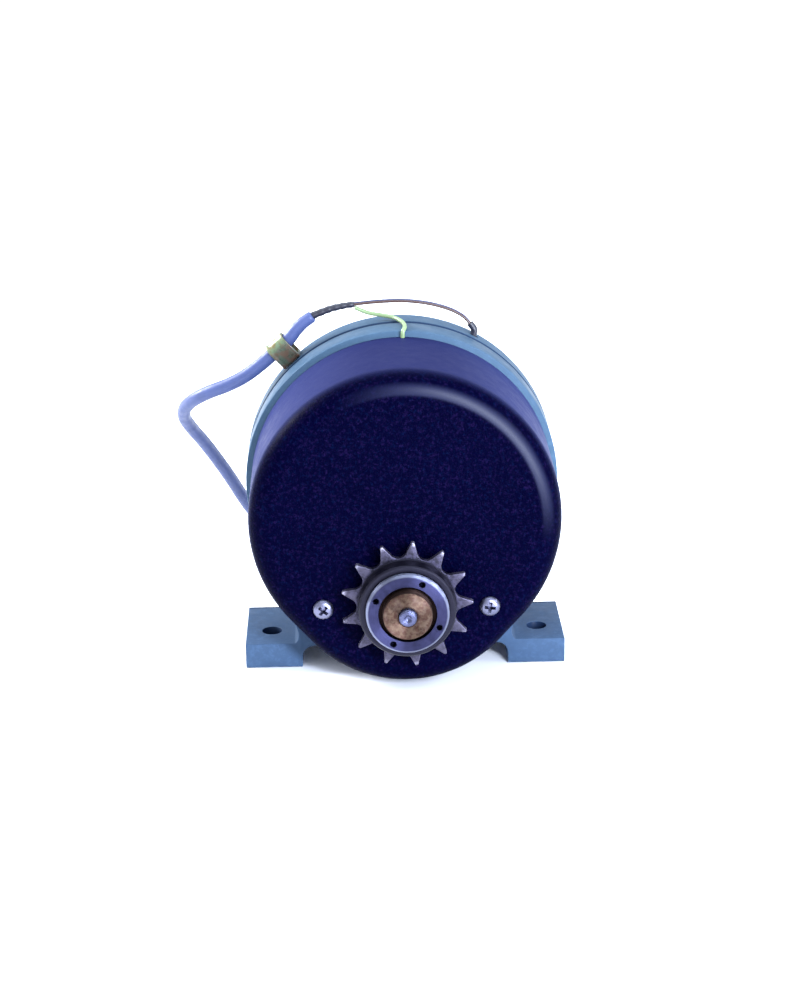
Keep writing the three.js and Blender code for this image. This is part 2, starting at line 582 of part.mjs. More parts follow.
// ---- lead, where the motor holds it: clip, cut end of the jacket, sleeve, three wires and their entries
const clipOut = v3(Math.cos(rad(CLIP.angle)), 0, Math.sin(rad(CLIP.angle)));
const clipSpot = v3(0, CLIP.y, MOTOR_Z).addScaledVector(clipOut, CLIP.r);
// Turns a shape whose X runs along the lead and whose Z points away from the motor, and puts it at the clip.
function atClip(shape) {
  return shape.rotate([0, 90 - CLIP.angle, 0]).translate(clipSpot.toArray());
}
const PAD_Z = -(CLIP.r - HOUSING_R) + GAP;
// An arch over the lead that runs straight down to a base, as points across the lead.
function strapOutline(radius, bottom) {
  const arch = [];
  for (let i = 0; i <= 14; i += 1) {
    const a = Math.PI * i / 14;
    arch.push([radius * Math.cos(a), radius * Math.sin(a)]);
  }
  const low = bottom + 0.6;
  const foot = [[-radius, low], [0.6 - radius, bottom], [radius - 0.6, bottom], [radius, low]];
  return [...arch, ...foot];
}
function cableClip() {
  const half = CLIP.width / 2;
  const strap = slab(strapOutline(CABLE_R + 1.6, PAD_Z), -half, half);
  const hollow = slab(strapOutline(CABLE_R + GAP, PAD_Z + 1.3), -half - 1, half + 1);
  const hole = upright(1.8, 0, 0, PAD_Z - 2, PAD_Z + 2, 10);
  return atClip(cut(cut(strap, hollow).rotate([0, 0, 90]), hole));
}
add("cable_clip", cableClip(), zincYellow());

const clipScrew = turned(
  [[0, 0], [1.8, 0], [2.3, 0.5], [2.3, 1.3], [0, 1.5]].map(([r, z]) => [r, z + PAD_Z + 1.3 + GAP]), 0, 0, 12,
);
add("clip_screw", atClip(clipScrew.rotate([90, 0, 0])), steel());

const W = (x, z, y = CLIP.y) => v3(x, y, z);
const alongClip = v3(Math.sin(rad(CLIP.angle)), 0, -Math.cos(rad(CLIP.angle)));
const heldStart = clipSpot.clone().addScaledVector(alongClip, -CLIP.width / 2 + GAP);
const clipEnd = clipSpot.clone().addScaledVector(alongClip, CLIP.width / 2 + 1);
const jacketRoute = [heldStart, clipSpot, clipEnd, W(-48.6, 147.7), W(-44.9, 151.4), W(-40.2, 154.6)];
add("lead_jacket", hose(jacketRoute, CABLE_R, 12, 10), jacket());

const sleeve = [W(-39.8, 154.9), W(-32.2, 157.8), W(-25.5, 159.3), W(-20.6, 159.9)];
add("lead_sleeve", hose(sleeve, 1.5, 8, 8), blackPlastic());

const topRoute = [
  W(-20, 160), W(-10.6, 160.9), W(0.6, 161.2), W(7.6, 160.7), W(16.5, 159.1), W(25.3, 156.1), W(30.6, 152.8),
  W(33.2, 149.9),
];
const topWire = (dy, dz) => topRoute.map((p) => v3(p.x, p.y + dy, p.z + dz));
add("brown_wire", hose(topWire(-0.75, 0), WIRE_R - 0.05, 22, 6), finish(0x6b4636, 0.6, 0));
add("blue_wire", hose(topWire(0.75, 0.3), WIRE_R - 0.05, 22, 6), finish(0x3a4a90, 0.6, 0));
const entryOut = v2(LEAD_ENTRY.x, LEAD_ENTRY.z - MOTOR_Z).normalize();
const entryDeep = W(entryOut.x * 70.5, MOTOR_Z + entryOut.y * 70.5);
add("entry_sleeve", hose([W(33.5, 149.5), W(35.3, 146.6), entryDeep], 1.6, 6, 8), blackPlastic());

const earthRoute = [
  W(-20, 158.1), W(-14.5, 155.9, 49.5), W(-8, 155, 48), W(-2.6, 154.7, 44.5), W(0.9, 154.4, 38.5),
  W(2.1, 154.3, 33), W(2.1, 154.2, 27.4), W(1.7, 153.8, 25.9), W(1.3, 153, 25.4), W(EARTH.x, 150, EARTH.y),
  W(EARTH.x, 147.2, EARTH.y),
];
add("earth_wire", hose(earthRoute, 0.95, 26, 8), finish(0xb9c98a, 0.6, 0));

// ---- lead, where it hangs free: about 1.05 m of round three-core cable, wound into a flat coil
const freeStart = heldStart.clone().addScaledVector(alongClip, -GAP);
const cableRoute = [
  freeStart, v3(-66, 50.2, 130.9), v3(-73, 50.8, 125.7), v3(-81, 52.4, 121.2), v3(-90, 55.5, 117),
  v3(-98, 61.5, 111.5), v3(-103.2, 70.5, 104.5), v3(-104.2, 81, 96.5), v3(-101.5, 91.5, 87.5),
  v3(-96.5, 101.5, 77), v3(-91, 111, 65), v3(-85.5, 120, 52.5), v3(-80.5, 128.5, 40), v3(-75, 136.5, 28),
  v3(-68.5, 143.8, 17.5), v3(-60, 150.2, 9.2), v3(-49, 154.7, 4.5), v3(-37, 157.2, CABLE_R),
  v3(-29, 158, CABLE_R),
];
add("motor_cable", hose(cableRoute, CABLE_R, 44, 8), jacket());

const coilSection = [[COIL.inner - CABLE_R, 1.4], [COIL.inner - 1.4, 0], [COIL.outer + 1.4, 0],
  [COIL.outer + CABLE_R, 1.4], [COIL.outer + CABLE_R, 5.1], [COIL.outer + 1.4, 6.5], [COIL.inner - 1.4, 6.5],
  [COIL.inner - CABLE_R, 5.1]];
const coilBody = turned(coilSection, 0, 0, 32).rotate([90, 0, 0]).translate([COIL.x, COIL.y, 0]);
add("cable_coil", coilBody, jacket());

// The end of the lead lies on the coil and runs into a three-way connector.
const TAIL = { z: 10.2, from: 8, to: -110, inner: 26.9, outer: 36 };
const onCoil = (r, degrees, z) =>
  v3(COIL.x + r * Math.cos(rad(degrees)), COIL.y + r * Math.sin(rad(degrees)), z);
const tailPoints = [];
for (let i = 0; i <= 8; i++) {
  const out = i / 8;
  const r = TAIL.inner + (TAIL.outer - TAIL.inner) * out * out * (3 - 2 * out);
  tailPoints.push(onCoil(r, TAIL.from + ((TAIL.to - TAIL.from) * i) / 8, TAIL.z));
}
add("cable_tail", hose(tailPoints, CABLE_R, 16, 8), jacket());

function connector() {
  const end = onCoil(TAIL.outer, TAIL.to, TAIL.z);
  const heading = TAIL.to - 90;
  const boot = new THREE.CylinderGeometry(3.4, 3.4, 8, 12).rotateZ(-Math.PI / 2).translate(5, 0, 0);
  const body = block(8.5, 31, -7.5, 7.5, -3.2, 6.8);
  const nose = block(30, 35, -6, 6, -1.8, 5.4);
  const sockets = [-4, 0, 4].map((y) => block(32, 36, y - 1.1, y + 1.1, 0.7, 2.9));
  const whole = cut(join(solid(boot), body, nose), ...sockets);
  return whole.rotate([0, 0, heading]).translate(end.toArray());
}
add("cable_connector", connector(), blackPlastic());

export default motor;
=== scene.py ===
import math

import bmesh
import bpy
from mathutils import Matrix, Vector


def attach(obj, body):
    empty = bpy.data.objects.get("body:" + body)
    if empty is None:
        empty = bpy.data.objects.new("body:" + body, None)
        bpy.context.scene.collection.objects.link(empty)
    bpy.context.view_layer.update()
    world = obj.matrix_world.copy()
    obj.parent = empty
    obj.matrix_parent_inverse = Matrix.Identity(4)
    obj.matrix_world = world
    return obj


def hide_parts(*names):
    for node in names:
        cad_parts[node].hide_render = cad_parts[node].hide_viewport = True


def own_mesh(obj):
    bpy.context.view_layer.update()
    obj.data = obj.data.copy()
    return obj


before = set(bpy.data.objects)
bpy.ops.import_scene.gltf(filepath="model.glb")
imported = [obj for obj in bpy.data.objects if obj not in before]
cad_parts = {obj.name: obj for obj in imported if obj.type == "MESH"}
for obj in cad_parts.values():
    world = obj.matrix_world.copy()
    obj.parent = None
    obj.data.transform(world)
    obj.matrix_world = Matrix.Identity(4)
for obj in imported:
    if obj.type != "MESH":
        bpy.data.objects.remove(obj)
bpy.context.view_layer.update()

# The sizes below are in millimetres, in the CAD's frame, and become metres where a mesh is made.
MM = 0.001

OUTPUT_Z = 46  # height of the output axis
MOTOR_Z = 80  # height of the motor's axis
FACE_Y = -36.5  # front of the gear cover
SEAM_Y = 26.6  # between gear cover and housing ring
JOINT_Y = 42.5  # between housing ring and rear cover
BACK_Y = 57.9
CAP_Y = 60.4  # back of the boss and of the bolt heads
COVER_R = 70.3
LOBE_R = 57  # the lower circle of the egg-shaped outline
LOBE_Z = 60
COVER_FILLET = 11
HOUSING_R = 73
TOOTH_Y = -42.5
TIP_R = 29.6  # over the sprocket's teeth
SHELL_R = 22  # the freewheel's body
LOCK_R = 18.5  # the lock ring
LOCK_Y = -55.6
ADAPTOR_Y = -58.4
SHAFT_END_Y = -60.4
POST_X = 37.4  # cover screws
POST_Z = 41.9
CABLE_R = 3.25
FOOT_TOP = 11.8
FOOT_HOLE = (62.4, 12.5)  # (x, y), the same on both sides
FOOT_HOLE_R = 4.6
BOLT_CIRCLE_R = 53
FLOOR_Z = -0.15


# -------------------- camera
FOCAL_MM = 83.98  # on a 36 mm sensor along the picture's long side
CAMERA_PLACE = (-23.68, -1007.8, 433.85)
CAMERA_TURN = -1.1  # degrees to the side
CAMERA_TILT = 19.33  # degrees down
CAMERA_ROLL = -0.77


def make_camera():
    turn, tilt, roll = (math.radians(a) for a in (CAMERA_TURN, CAMERA_TILT, CAMERA_ROLL))
    back = Vector((
        math.sin(turn) * math.cos(tilt),
        -math.cos(turn) * math.cos(tilt),
        math.sin(tilt),
    ))
    level = Vector((math.cos(turn), math.sin(turn), 0))
    above = back.cross(level)
    right = math.cos(roll) * level + math.sin(roll) * above
    up = back.cross(right)
    camera = bpy.data.objects.new("camera", bpy.data.cameras.new("camera"))
    bpy.context.scene.collection.objects.link(camera)
    rotation = Matrix((right, up, back)).transposed().to_4x4()
    camera.matrix_world = Matrix.Translation(Vector(CAMERA_PLACE) * MM) @ rotation
    camera.data.lens = FOCAL_MM
    camera.data.sensor_width = 36
    camera.data.clip_start = 0.01
    camera.data.clip_end = 50
    bpy.context.scene.camera = camera


make_camera()


# -------------------- mesh helpers
def mesh_object(name, verts, faces, smooth):
    """An object from points in millimetres. Edges sharper than smooth degrees stay sharp."""
    mesh = bpy.data.meshes.new(name)
    mesh.from_pydata([Vector(v) * MM for v in verts], [], faces)
    bm = bmesh.new()
    bm.from_mesh(mesh)
    bmesh.ops.recalc_face_normals(bm, faces=bm.faces)
    bm.to_mesh(mesh)
    bm.free()
    shade(mesh, smooth)
    thing = bpy.data.objects.new(name, mesh)
    bpy.context.scene.collection.objects.link(thing)
    return thing


def shade(mesh, smooth=32):
    for polygon in mesh.polygons:
        polygon.use_smooth = True
    mesh.set_sharp_from_angle(angle=math.radians(smooth))


def apply_modifiers(thing):
    """Turns what the modifiers show into the object's own mesh."""
    graph = bpy.context.evaluated_depsgraph_get()
    mesh = bpy.data.meshes.new_from_object(thing.evaluated_get(graph))
    thing.modifiers.clear()
    thing.data = mesh


def bevel(thing, width, segments, angle=35, smooth=50):
    """Rounds every edge sharper than angle."""
    modifier = thing.modifiers.new("bevel", "BEVEL")
    modifier.width = width * MM
    modifier.segments = segments
    modifier.limit_method = "ANGLE"
    modifier.angle_limit = math.radians(angle)
    modifier.use_clamp_overlap = True
    apply_modifiers(thing)
    shade(thing.data, smooth)
    return thing


def boolean(thing, tools, operation="DIFFERENCE", smooth=32):
    for tool in tools:
        modifier = thing.modifiers.new("boolean", "BOOLEAN")
        modifier.operation = operation
        modifier.solver = "EXACT"
        modifier.object = tool
    bpy.context.view_layer.update()
    apply_modifiers(thing)
    for tool in tools:
        bpy.data.objects.remove(tool)
    shade(thing.data, smooth)
    return thing


def join(name, things):
    """One object of several meshes, each with its own materials."""
    materials = []
    verts, faces, indices = [], [], []
    for thing in things:
        start = len(verts)
        verts.extend(thing.matrix_world @ v.co for v in thing.data.vertices)
        own = list(thing.data.materials) or [None]
        for material in own:
            if material not in materials:
                materials.append(material)
        for polygon in thing.data.polygons:
            faces.append([start + i for i in polygon.vertices])
            indices.append(materials.index(own[min(polygon.material_index, len(own) - 1)]))
    mesh = bpy.data.meshes.new(name)
    mesh.from_pydata(verts, [], faces)
    for material in materials:
        if material:
            mesh.materials.append(material)
    for polygon, index in zip(mesh.polygons, indices):
        polygon.material_index = index
    shade(mesh)
    for thing in things:
        bpy.data.objects.remove(thing)
    joined = bpy.data.objects.new(name, mesh)
    bpy.context.scene.collection.objects.link(joined)
    return joined


def rounded(points, radius, steps=4, closed=False):
    """The line through 2-D points, with each corner rounded by the radius where there is room."""
    out = []
    count = len(points)
    for i, (px, py) in enumerate(points):
        if not closed and i in (0, count - 1):
            out.append((px, py))
            continue
        corner = Vector((px, py))
        before = Vector(points[i - 1]) - corner
        after = Vector(points[(i + 1) % count]) - corner
        angle = before.angle(after, math.pi)
        if angle > math.radians(172) or angle < 0.05:
            out.append((px, py))
            continue
        reach = radius / math.tan(angle / 2)
        reach = min(reach, before.length * 0.45, after.length * 0.45)
        start = corner + before.normalized() * reach
        end = corner + after.normalized() * reach
        for step in range(steps + 1):
            t = step / steps
            point = start * (1 - t) ** 2 + corner * 2 * t * (1 - t) + end * t * t
            out.append(tuple(point))
    return out


def turned(name, profile, x=0.0, z=0.0, segments=96, smooth=32):
    """A body turned about the Y axis through (x, z) from a profile of (radius, y)."""
    verts, rows = [], []
    for radius, y in profile:
        if radius < 1e-6:
            rows.append([len(verts)] * segments)
            verts.append((x, y, z))
            continue
        row = []
        for i in range(segments):
            a = 2 * math.pi * i / segments
            row.append(len(verts))
            verts.append((x + radius * math.cos(a), y, z + radius * math.sin(a)))
        rows.append(row)
    faces = []
    closed = profile[0][0] > 1e-6
    pairs = list(zip(rows, rows[1:])) + ([(rows[-1], rows[0])] if closed else [])
    for low, high in pairs:
        for i in range(segments):
            j = (i + 1) % segments
            corners = [low[i], low[j], high[j], high[i]]
            face = [c for k, c in enumerate(corners) if c not in corners[:k]]
            if len(face) > 2:
                faces.append(face)
    return mesh_object(name, verts, faces, smooth)


def rod(name, radius, y0, y1, x=0.0, z=0.0, segments=48):
    return turned(name, [(0, y0), (radius, y0), (radius, y1), (0, y1)], x, z, segments)


def loft(name, sections, smooth=32):
    """A solid through outlines of (x, z) points, each at its own y, closed at both ends."""
    count = len(sections[0][1])
    verts = [(x, y, z) for y, outline in sections for x, z in outline]
    faces = []
    for s in range(len(sections) - 1):
        for i in range(count):
            j = (i + 1) % count
            faces.append([s * count + i, s * count + j, (s + 1) * count + j, (s + 1) * count + i])
    faces.append(list(range(count)))
    faces.append([len(verts) - count + i for i in range(count)])
    return mesh_object(name, verts, faces, smooth)


def slab(name, outline, y0, y1):
    return loft(name, [(y0, outline), (y1, outline)])


def around(radius, degrees, x=0, z=0):
    """The (x, z) point at an angle on a circle."""
    a = math.radians(degrees)
    return (x + radius * math.cos(a), z + radius * math.sin(a))


def block(name, x0, x1, y0, y1, z0, z1):
    return slab(name, [(x0, z0), (x1, z0), (x1, z1), (x0, z1)], y0, y1)


def rotate(thing, degrees, axis):
    thing.data.transform(Matrix.Rotation(math.radians(degrees), 4, axis))


def move(thing, offset):
    thing.data.transform(Matrix.Translation(Vector(offset) * MM))


def stand_up(thing, x, y):
    """Turns a piece made along Y so that it points up Z, at (x, y)."""
    rotate(thing, 90, "X")
    move(thing, (x, y, 0))
    return thing


def upright(name, radius, x, y, z0, z1):
    """A rod along Z."""
    return stand_up(rod(name, radius, z0, z1, segments=24), x, y)


def smooth_line(points, spacing):
    """Points along a centripetal Catmull-Rom curve through the given ones, in millimetres."""
    p = [Vector(q) for q in points]
    p = [2 * p[0] - p[1], *p, 2 * p[-1] - p[-2]]
    out = []
    for a, b, c, d in zip(p, p[1:], p[2:], p[3:]):
        ab, bc, cd = (max((v - u).length ** 0.5, 1e-4) for u, v in ((a, b), (b, c), (c, d)))
        start = ((b - a) / ab - (c - a) / (ab + bc) + (c - b) / bc) * bc
        end = ((c - b) / bc - (d - b) / (bc + cd) + (d - c) / cd) * bc
        steps = max(2, math.ceil((c - b).length / spacing))
        for i in range(steps):
            t = i / steps
            out.append(
                (2 * t**3 - 3 * t**2 + 1) * b + (t**3 - 2 * t**2 + t) * start
                + (3 * t**2 - 2 * t**3) * c + (t**3 - t**2) * end
            )
    out.append(p[-2])
    return out


def hose(name, line, radius, sides, stripes=()):
    """A tube along a line of points. radius may be a function of the share of the length.

    Columns of faces listed in stripes take the second material.
    """
    width = radius if callable(radius) else lambda t: radius
    count = len(line)
    tangents = []
    for i in range(count):
        ahead = line[min(i + 1, count - 1)] - line[max(i - 1, 0)]
        tangents.append(ahead.normalized())
    side = tangents[0].orthogonal().normalized()
    verts = []
    for i, (point, tangent) in enumerate(zip(line, tangents)):
        side = (side - tangent * side.dot(tangent)).normalized()
        other = tangent.cross(side)
        r = width(i / (count - 1))
        for k in range(sides):
            a = 2 * math.pi * k / sides
            verts.append(point + r * (math.cos(a) * side + math.sin(a) * other))
    faces, striped = [], []
    for i in range(count - 1):
        for k in range(sides):
            j = (k + 1) % sides
            faces.append([i * sides + k, i * sides + j, (i + 1) * sides + j, (i + 1) * sides + k])
            striped.append(k in stripes)
    faces.append(list(range(sides)))
    faces.append([(count - 1) * sides + k for k in range(sides)])
    striped += [False, False]
    thing = mesh_object(name, verts, faces, 60)
    for polygon, stripe in zip(thing.data.polygons, striped):
        polygon.material_index = int(stripe)
    return thing


# -------------------- materials
class Nodes:
    """A material's node tree, with short calls for the nodes used here."""

    def __init__(self, name, color, roughness, metallic=0.0, **sockets):
        self.material = bpy.data.materials.new(name)
        self.material.use_nodes = True
        self.tree = self.material.node_tree
        self.shader = self.tree.nodes["Principled BSDF"]
        self.shader.inputs["Base Color"].default_value = (*color, 1)
        self.shader.inputs["Roughness"].default_value = roughness
        self.shader.inputs["Metallic"].default_value = metallic
        for socket, value in sockets.items():
            self.shader.inputs[socket.replace("_", " ")].default_value = value
        self.place = self.new("ShaderNodeTexCoord").outputs["Object"]

    def new(self, kind, **settings):
        node = self.tree.nodes.new(kind)
        for key, value in settings.items():
            setattr(node, key, value)
        return node

    def link(self, value, socket):
        if hasattr(value, "is_output"):
            self.tree.links.new(value, socket)
        else:
            socket.default_value = value

    def stretch(self, scale):
        node = self.new("ShaderNodeMapping")
        self.link(self.place, node.inputs["Vector"])
        node.inputs["Scale"].default_value = scale
        return node.outputs["Vector"]

    def noise(self, scale, detail, rough=0.55, vector=None):
        """Noise whose grain is 1 / scale metres."""
        node = self.new("ShaderNodeTexNoise")
        self.link(vector or self.place, node.inputs["Vector"])
        node.inputs["Scale"].default_value = scale
        node.inputs["Detail"].default_value = detail
        node.inputs["Roughness"].default_value = rough
        return node.outputs["Fac"]

    def cells(self, scale):
        node = self.new("ShaderNodeTexVoronoi", feature="SMOOTH_F1")
        self.link(self.place, node.inputs["Vector"])
        node.inputs["Scale"].default_value = scale
        return node.outputs["Distance"]

    def math(self, operation, a, b=0.0):
        node = self.new("ShaderNodeMath", operation=operation)
        for value, socket in zip((a, b), node.inputs):
            self.link(value, socket)
        return node.outputs[0]

    def times(self, a, b):
        return self.math("MULTIPLY", a, b)

    def ramp(self, value, low, high, to_low=0.0, to_high=1.0):
        node = self.new("ShaderNodeMapRange", interpolation_type="SMOOTHSTEP")
        self.link(value, node.inputs["Value"])
        for key, number in zip(("From Min", "From Max", "To Min", "To Max"), (low, high, to_low, to_high)):
            node.inputs[key].default_value = number
        return node.outputs["Result"]

    def ramp_mm(self, distance, low, high, to_low=0.0, to_high=1.0):
        """A ramp whose two ends are in millimetres."""
        return self.ramp(distance, low * MM, high * MM, to_low, to_high)

    def mix(self, factor, a, b):
        node = self.new("ShaderNodeMix", data_type="RGBA")
        self.link(factor, node.inputs["Factor"])
        for value, socket in ((a, node.inputs["A"]), (b, node.inputs["B"])):
            self.link(value if hasattr(value, "is_output") else (*value, 1), socket)
        return node.outputs["Result"]

    def axis(self, name):
        node = self.new("ShaderNodeSeparateXYZ")
        self.link(self.place, node.inputs[0])
        return node.outputs[name]

    def length(self, a, b):
        """The length of the vector (a, b)."""
        squares = self.math("ADD", self.times(a, a), self.times(b, b))
        return self.math("SQRT", squares)

    def radius(self, z):
        """Distance in metres from the line along Y at x = 0 and z in millimetres."""
        return self.length(self.axis("X"), self.math("SUBTRACT", self.axis("Z"), z * MM))

    def edges(self, low, high):
        """1 along worn outside edges."""
        geometry = self.new("ShaderNodeNewGeometry")
        return self.ramp(geometry.outputs["Pointiness"], low, high)

    def set_color(self, value):
        self.link(value, self.shader.inputs["Base Color"])

    def set_roughness(self, value):
        self.link(value, self.shader.inputs["Roughness"])

    def patchy_roughness(self, scale, low, high):
        self.set_roughness(self.ramp(self.noise(scale, 3), 0.3, 0.7, low, high))

    def bump(self, *layers):
        """layers are (height, depth in metres)."""
        normal = None
        for height, depth in layers:
            node = self.new("ShaderNodeBump")
            self.link(height, node.inputs["Height"])
            node.inputs["Distance"].default_value = depth
            node.inputs["Strength"].default_value = 1
            if normal:
                self.link(normal, node.inputs["Normal"])
            normal = node.outputs["Normal"]
        self.link(normal, self.shader.inputs["Normal"])


def lighter(color, times):
    return tuple(min(1.0, c * times) for c in color)


def cover_paint():
    """Dark blue stoving enamel with a pressed leather grain, deeper on the face. The wall is painted lighter
    than the face as a painted sheen, most towards the sides, and the bend at the upper right is painted
    lighter as a painted highlight.
    """
    m = Nodes("cover_enamel", (0.012, 0.013, 0.07), 0.34, Specular_IOR_Level=0.006, Coat_Roughness=0.4)
    along = m.axis("Y")
    face = m.ramp_mm(along, FACE_Y + 5, FACE_Y + 14, 1.0, 0.0)
    flat = m.ramp_mm(along, FACE_Y + 0.02, FACE_Y + 0.3, 1.0, 0.0)
    broad = m.noise(30, 2)
    # painted sheen: the wall is painted far lighter than the face, for the light its enamel reflects
    painted_wall_sheen = m.mix(broad, (0.0112, 0.0132, 0.054), (0.0155, 0.0185, 0.067))
    # painted sheen: lighter still towards both sides of the wall
    side_sheen = m.ramp_mm(m.math("ABSOLUTE", m.axis("X")), 8, 68, 0, 0.7)
    painted_wall_sheen = m.mix(side_sheen, painted_wall_sheen, (0.034, 0.041, 0.122))
    front = m.mix(broad, (0.0001, 0.0001, 0.0056), (0.0003, 0.0003, 0.0085))
    grain = m.cells(1150)
    fine = m.noise(2000, 2, 0.6)
    cold = m.ramp(m.noise(520, 4, 0.75), 0.50, 0.70, 0, 0.8)
    pits = m.ramp(m.math("ADD", grain, m.times(fine, 0.35)), 0.25, 0.95)
    specks = m.ramp(m.noise(640, 4, 0.75, m.stretch((1, 1, -1))), 0.50, 0.72, 0, 0.85)
    speckled = m.mix(specks, m.mix(cold, front, (0.0008, 0.0030, 0.019)), (0.0055, 0.0026, 0.022))
    # The inner bend at the upper right gets a glossier coat, and is painted lighter there as a painted
    # highlight where the lamps' reflection falls.
    rounding = m.ramp_mm(along, FACE_Y + 1.1, FACE_Y + 3.1, 1.0, 0.0)
    bend_band = m.times(rounding, m.math("SUBTRACT", 1.0, flat))
    across = m.times(m.axis("X"), 0.55)
    height = m.math("SUBTRACT", m.axis("Z"), MOTOR_Z * MM)
    upper = m.ramp_mm(m.math("ADD", across, height), 24, 60)
    highlight_area = m.times(upper, m.ramp_mm(m.axis("X"), -38, 16))
    bend_highlight = m.times(bend_band, highlight_area)
    m.link(m.times(bend_highlight, 0.31), m.shader.inputs["Coat Weight"])
    m.set_color(m.mix(face, painted_wall_sheen, m.mix(bend_highlight, speckled, (0.0030, 0.0045, 0.026))))
    m.patchy_roughness(180, 0.36, 0.45)
    strength = m.math("ADD", m.times(face, 0.25), 0.12)
    strength = m.math("ADD", m.times(flat, 0.6), strength)
    m.bump((m.times(pits, strength), 0.00018), (m.noise(90, 2), 0.00006))
    return m.material


def blue_paint(name="housing_enamel", color=(0.048, 0.087, 0.137)):
    """Light steel-blue enamel over cast metal: fine orange peel, painted shade in the joint and in the
    feet's bolt holes, rubbed edges.
    """
    m = Nodes(name, color, 0.42, Specular_IOR_Level=0.05)
    broad = m.noise(25, 3)
    tone = m.mix(broad, lighter(color, 0.90), lighter(color, 1.10))
    mottle = m.mix(m.ramp(m.noise(420, 3, 0.65), 0.35, 0.75, 0, 0.22), tone, lighter(color, 0.78))
    away = m.radius(MOTOR_Z)
    rubbed = m.times(m.edges(0.515, 0.56), m.ramp(m.noise(260, 4, 0.7), 0.45, 0.65))
    rubbed = m.times(rubbed, m.ramp_mm(away, HOUSING_R - 4.5, HOUSING_R - 3, 0.0, 0.3))
    worn = m.mix(rubbed, mottle, lighter(color, 1.7))
    # painted shade: a dark band in the groove at the joint between housing ring and rear cover
    joint = m.math("ABSOLUTE", m.math("SUBTRACT", m.axis("Y"), JOINT_Y * MM))
    dirt_and_shade = m.ramp_mm(joint, 1.5, 1.9, 0.85, 0.0)
    high = m.ramp_mm(away, HOUSING_R - 2.5, HOUSING_R - 1.5)
    # painted shade: dark inside the feet's bolt holes, below the feet's tops
    sideways = m.math("SUBTRACT", m.math("ABSOLUTE", m.axis("X")), FOOT_HOLE[0] * MM)
    lengthways = m.math("SUBTRACT", m.axis("Y"), FOOT_HOLE[1] * MM)
    off = m.length(sideways, lengthways)
    hole_shade = m.ramp_mm(off, FOOT_HOLE_R + 0.02, FOOT_HOLE_R + 0.15, 0.9, 0.0)
    low = m.ramp_mm(m.axis("Z"), FOOT_TOP, FOOT_TOP + 0.5, 1.0, 0.0)
    painted_shade = m.math("MAXIMUM", m.times(dirt_and_shade, high), m.times(hole_shade, low))
    m.set_color(m.mix(painted_shade, worn, (0.006, 0.014, 0.040)))
    m.patchy_roughness(120, 0.36, 0.5)
    m.bump((m.noise(700, 2, 0.5), 0.00005), (m.noise(60, 3), 0.00010))
    return m.material


def turned_metal(name, color, roughness, z, pitch=0.00022, depth=0.000012):
    """Bare metal with the fine rings that a lathe tool leaves about the line along Y at height z."""
    m = Nodes(name, color, roughness, 1.0, Anisotropic=0.98, Anisotropic_Rotation=0.25)
    tangent = m.new("ShaderNodeTangent", direction_type="RADIAL", axis="Y")
    m.link(tangent.outputs["Tangent"], m.shader.inputs["Tangent"])
    rings = m.math("SINE", m.times(m.radius(z), 2 * math.pi / pitch))
    along = m.math("SINE", m.times(m.axis("Y"), 2 * math.pi / pitch))
    broad = m.noise(160, 4, 0.6)
    m.tone = m.mix(broad, lighter(color, 0.78), lighter(color, 1.12))
    m.set_color(m.tone)
    m.patchy_roughness(500, roughness * 0.8, roughness * 1.3)
    m.bump((rings, depth), (along, depth * 0.6))
    return m


def plain_metal(name, color, roughness, grain=(1, 1, 1), depth=0.00002):
    """Bare or plated metal with faint scratches, drawn out along the axes with a small grain value."""
    m = Nodes(name, color, roughness, 1.0)
    scratch = m.noise(900, 4, 0.7, m.stretch(grain))
    stain = m.noise(70, 3)
    m.set_color(m.mix(stain, lighter(color, 0.82), lighter(color, 1.08)))
    m.set_roughness(m.ramp(scratch, 0.25, 0.75, roughness * 0.75, roughness * 1.35))
    m.bump((scratch, depth))
    return m.material


def turned_brass():
    """Lathe-finished brass, bright on its end face and brown with old oil down its side."""
    m = turned_metal("turned_brass", (0.080, 0.050, 0.043), 0.44, OUTPUT_Z, 0.0005, 0.00001)
    patches = m.ramp(m.noise(520, 4, 0.7), 0.34, 0.66)
    stained = m.mix(patches, (0.070, 0.034, 0.028), (0.124, 0.082, 0.058))
    rubbed = m.ramp(m.noise(300, 3, 0.6, m.stretch((1, 1, -1))), 0.50, 0.70, 0, 0.35)
    face = m.mix(rubbed, stained, (0.180, 0.130, 0.110))
    side = m.ramp_mm(m.axis("Y"), ADAPTOR_Y + 0.5, ADAPTOR_Y + 1)
    m.set_color(m.mix(side, face, (0.030, 0.018, 0.016)))
    return m.material


def ring_steel():
    """Oiled steel with a painted highlight along its outer rim and painted shade in its bore."""
    m = turned_metal("ring_steel", (0.034, 0.034, 0.082), 0.36, OUTPUT_Z, 0.0008, 0.00001)
    out = m.radius(OUTPUT_Z)
    # painted highlight: the outer rim is painted lighter all round
    rim_highlight = m.ramp_mm(out, LOCK_R - 1.3, LOCK_R - 0.6)
    # painted shade: near black inside the bore and holes, behind the front face
    behind = m.ramp_mm(m.axis("Y"), LOCK_Y + 0.1, LOCK_Y + 0.3)
    recess_shade = m.times(behind, m.ramp_mm(out, LOCK_R - 1.9, LOCK_R - 1.6, 1.0, 0.0))
    m.set_color(m.mix(recess_shade, m.mix(rim_highlight, m.tone, (0.17, 0.18, 0.26)), (0.002, 0.002, 0.006)))
    return m.material


